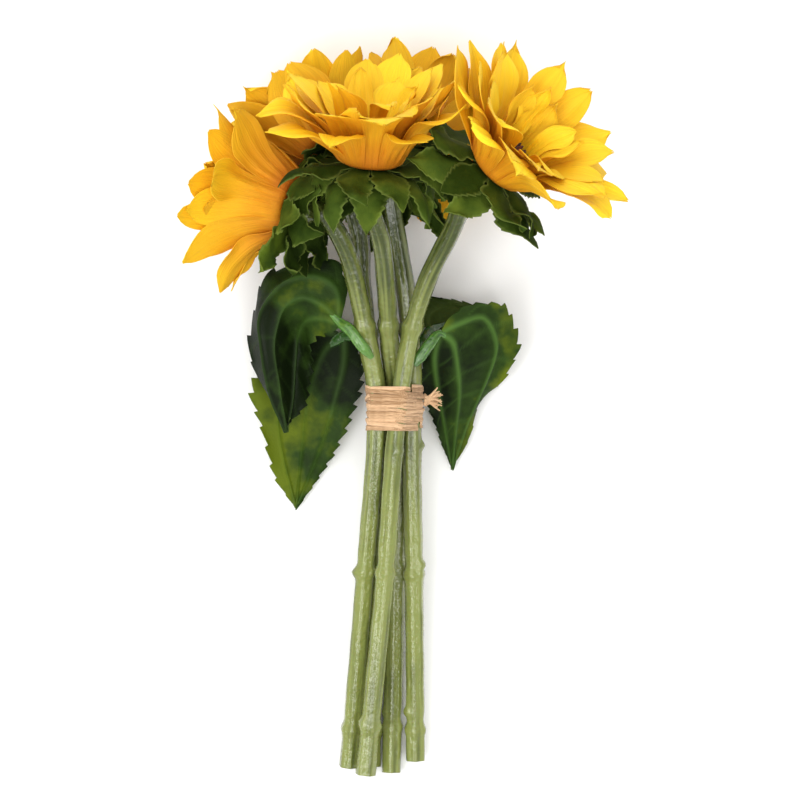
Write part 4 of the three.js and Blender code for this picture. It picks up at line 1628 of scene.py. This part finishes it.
@dataclass(frozen=True)
class RaffiaTie:
    """Strands of raffia wound round the stems and knotted at the side. Lengths are in millimetres.

    crossings are the strands over the band: the first angle in radians, and where along the stems, above
    low, the strand starts and ends.
    """

    low: float = 153.2
    high: float = 174.4
    stem_radius: float = 4.15
    turns: int = 18
    steps: int = 72
    width: float = 1.6
    thickness: float = 0.8
    first_angle: float = 0.5
    overlap: float = 0.02
    crossings: tuple[Triple, ...] = ((1.0, 2, 9), (2.2, 16, 8), (4.0, 12, 19))
    crossing_turns: float = 0.8
    crossing_lift: float = 0.55
    knot: Triple = (14.8, 167.4, 30)
    ends: int = 26
    end_length: float = 4.2
    end_width: float = 1.1

    def outline(self, y: np.ndarray, angle: np.ndarray, off: np.ndarray) -> np.ndarray:
        """Points round the bundle of stems.

        Args:
            y: Places along the stems.
            angle: Angles round them, in radians.
            off: How far off the stems the points are.

        Returns:
            The points, as rows.
        """
        stems = [spline(route, 200) for route in STEM_ROUTES.values()]
        middles = np.array([[np.interp(y, s[:, 1], s[:, k]) for k in (0, 2)] for s in stems])
        out = np.stack([np.cos(angle), np.sin(angle)])
        reach = (middles * out[None]).sum(axis=1)
        carrier = reach.argmax(axis=0)
        flat = middles[carrier, :, np.arange(len(angle))] + (out * (self.stem_radius + off)).T
        return np.stack([flat[:, 0], y, flat[:, 1]], axis=1)

    def strand(self, number: int, start: float, turns: float, low: float, high: float,
               off: float) -> Object:
        """Winds one strand from low to high.

        Args:
            number: The strand's number, for its own wobble.
            start: Its first angle round the bundle, in radians.
            turns: How often it goes round.
            low: Where it starts along the stems.
            high: Where it ends.
            off: How far it lies off the stems.

        Returns:
            The strand.
        """
        share = np.linspace(0, 1, int(self.steps * abs(turns)) + 1)
        angle = start + TAU * turns * share
        y = low + (high - low) * share
        y = y + 0.35 * np.sin(angle * 1.3 + 2 * number) + 0.15 * np.sin(angle * 3.1 + number)
        lift = off + 0.25 + 0.2 * np.sin(angle * 2.3 + 2 * number)
        path = self.outline(y, angle, lift)
        path = np.array([np.convolve(np.pad(path[:, k], 2, mode="edge"), np.ones(5) / 5, "valid")
                         for k in range(3)]).T
        out = np.stack([np.cos(angle), np.zeros_like(angle), np.sin(angle)], axis=1)
        half = 0.5 * self.width * (1 + 0.15 * np.sin(angle * 1.7 + number))
        strand = ribbon("strand", path, out, half, FLAT_STRAND, self.thickness)
        set_tint(strand, wobble(number, 51))
        return strand

    def band(self) -> list[Object]:
        """Winds the band: even turns, and a few strands that cross them."""
        pitch = (self.high - self.low - self.width) / self.turns
        first = self.low + self.width / 2
        strands = [self.strand(i, self.first_angle, 1 + self.overlap, first + pitch * i,
                               first + pitch * (i + 1), 0)
                   for i in range(self.turns)]
        strands += [self.strand(30 + i, start, self.crossing_turns, self.low + low, self.low + high,
                                self.crossing_lift)
                    for i, (start, low, high) in enumerate(self.crossings)]
        return strands

    def loose_end(self, number: int) -> Object:
        """One of the cut ends that spread from the knot.

        Args:
            number: Its number.

        Returns:
            The end.
        """
        middle = np.array(self.knot)
        spread = 0.9 * wobble(number, 61)
        start = middle + np.array([-4.0, 3.0 * wobble(number, 63), 2.0 * wobble(number, 64)])
        waist = middle + np.array([-1.2, 2.0 * wobble(number, 65), 1.6 * wobble(number, 66)])
        tip = waist + (self.end_length + 1.4 * wobble(number, 62)) * np.array(
            [math.cos(spread), math.sin(spread), 0.7 * wobble(number, 68)])
        path = spline([start, waist, (waist + tip) / 2 + 0.7 * wobble(number, 67), tip], 8)
        half = 0.5 * self.end_width * (1 - 0.5 * np.linspace(0, 1, len(path)) ** 2)
        end = ribbon("loose_end", path, (0.2, 0.3, 1), half, THIN_STRAND, 1.0)
        set_tint(end, 0.8 + 0.5 * wobble(number, 69))
        return end

    def build(self, wardrobe: Wardrobe) -> None:
        """Makes the band and the knot.

        Args:
            wardrobe: Where the materials come from.
        """
        for node, strands in (("raffia_band", self.band()),
                              ("raffia_knot", [self.loose_end(i) for i in range(self.ends)])):
            piece = join(strands, f"{node}_strands")
            wardrobe.dress(piece, Finish.RAFFIA)
            smooth(piece, CLOTH_ANGLE)
            show(piece, "raffia", node)


# ---------------------------------------------------------------- the studio
@dataclass(frozen=True)
class SoftLight:
    """A rectangular light: its place, width and height in metres, and its power in watts."""

    name: str
    location: Triple
    size: Pair
    power: float


@dataclass(frozen=True)
class Studio:
    """The pale floor, the soft lights and the camera, which looks straight down on the bouquet.

    Each light looks at aim, in metres.
    """

    field_mm: float = 352.0
    lens_mm: float = 300.0
    middle: Triple = (0.0, 167.2, 60.0)
    floor_m: float = 12.0
    aim: Triple = (0, 0.05, 0.05)
    daylight: float = 0.7
    lights: tuple[SoftLight, ...] = (
        SoftLight("key", (-0.3, 0.9, 1.7), (2.4, 2.4), 26),
        SoftLight("fill", (0.2, -0.5, 1.8), (1.8, 1.8), 8),
        SoftLight("strip_left", (-0.5, -0.4, 1.1), (0.3, 1.0), 6),
        SoftLight("strip_right", (0.3, -0.4, 1.2), (0.15, 1.0), 3),
    )

    def camera(self) -> None:
        """Hangs the camera over the bouquet."""
        middle = Vector(place(self.middle))
        data = bpy.data.cameras.new("camera")
        data.lens = self.lens_mm
        distance = self.field_mm * MM * self.lens_mm / data.sensor_width
        obj = bpy.data.objects.new("camera", data)
        obj.location = middle + Vector((0, 0, distance))
        bpy.context.collection.objects.link(obj)
        bpy.context.scene.camera = obj

    def floor(self) -> None:
        """Lays the floor."""
        deselect()
        bpy.ops.mesh.primitive_plane_add(size=self.floor_m, location=(0, 0, 0))
        floor = bpy.context.object
        floor.name = "floor"
        material, _ = new_material("floor_white_paper", Base_Color=(0.93, 0.93, 0.92, 1), Roughness=0.9)
        floor.data.materials.append(material)

    def light(self, soft: SoftLight) -> None:
        """Adds one soft light that looks at the bouquet.

        Args:
            soft: The light.
        """
        data = bpy.data.lights.new(soft.name, "AREA")
        data.shape = "RECTANGLE"
        data.size, data.size_y = soft.size
        data.energy = soft.power
        obj = bpy.data.objects.new(soft.name, data)
        obj.location = soft.location
        aim = Vector(self.aim) - Vector(soft.location)
        obj.rotation_euler = aim.to_track_quat("-Z", "Y").to_euler()
        bpy.context.collection.objects.link(obj)

    def build(self) -> None:
        """Sets up the whole studio."""
        self.camera()
        self.floor()
        for soft in self.lights:
            self.light(soft)
        world = bpy.data.worlds.new("studio")
        world.use_nodes = True
        background = world.node_tree.nodes["Background"]
        background.inputs["Color"].default_value = (1, 1, 1, 1)
        background.inputs["Strength"].default_value = self.daylight
        bpy.context.scene.world = world
        bpy.context.scene.view_settings.view_transform = "Standard"


def main() -> None:
    """Builds the bouquet around its frame."""
    logging.basicConfig(level=logging.INFO, format="%(message)s")
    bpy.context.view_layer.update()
    Studio().build()
    wardrobe = Wardrobe()
    for number, flower in enumerate(FLOWERS):
        SunflowerHead(flower, number).build(wardrobe)
        Stem(flower).build(wardrobe)
    for leaf in LEAVES:
        leaf.build(wardrobe)
    RaffiaTie().build(wardrobe)
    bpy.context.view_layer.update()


if __name__ == "__main__":
    main()
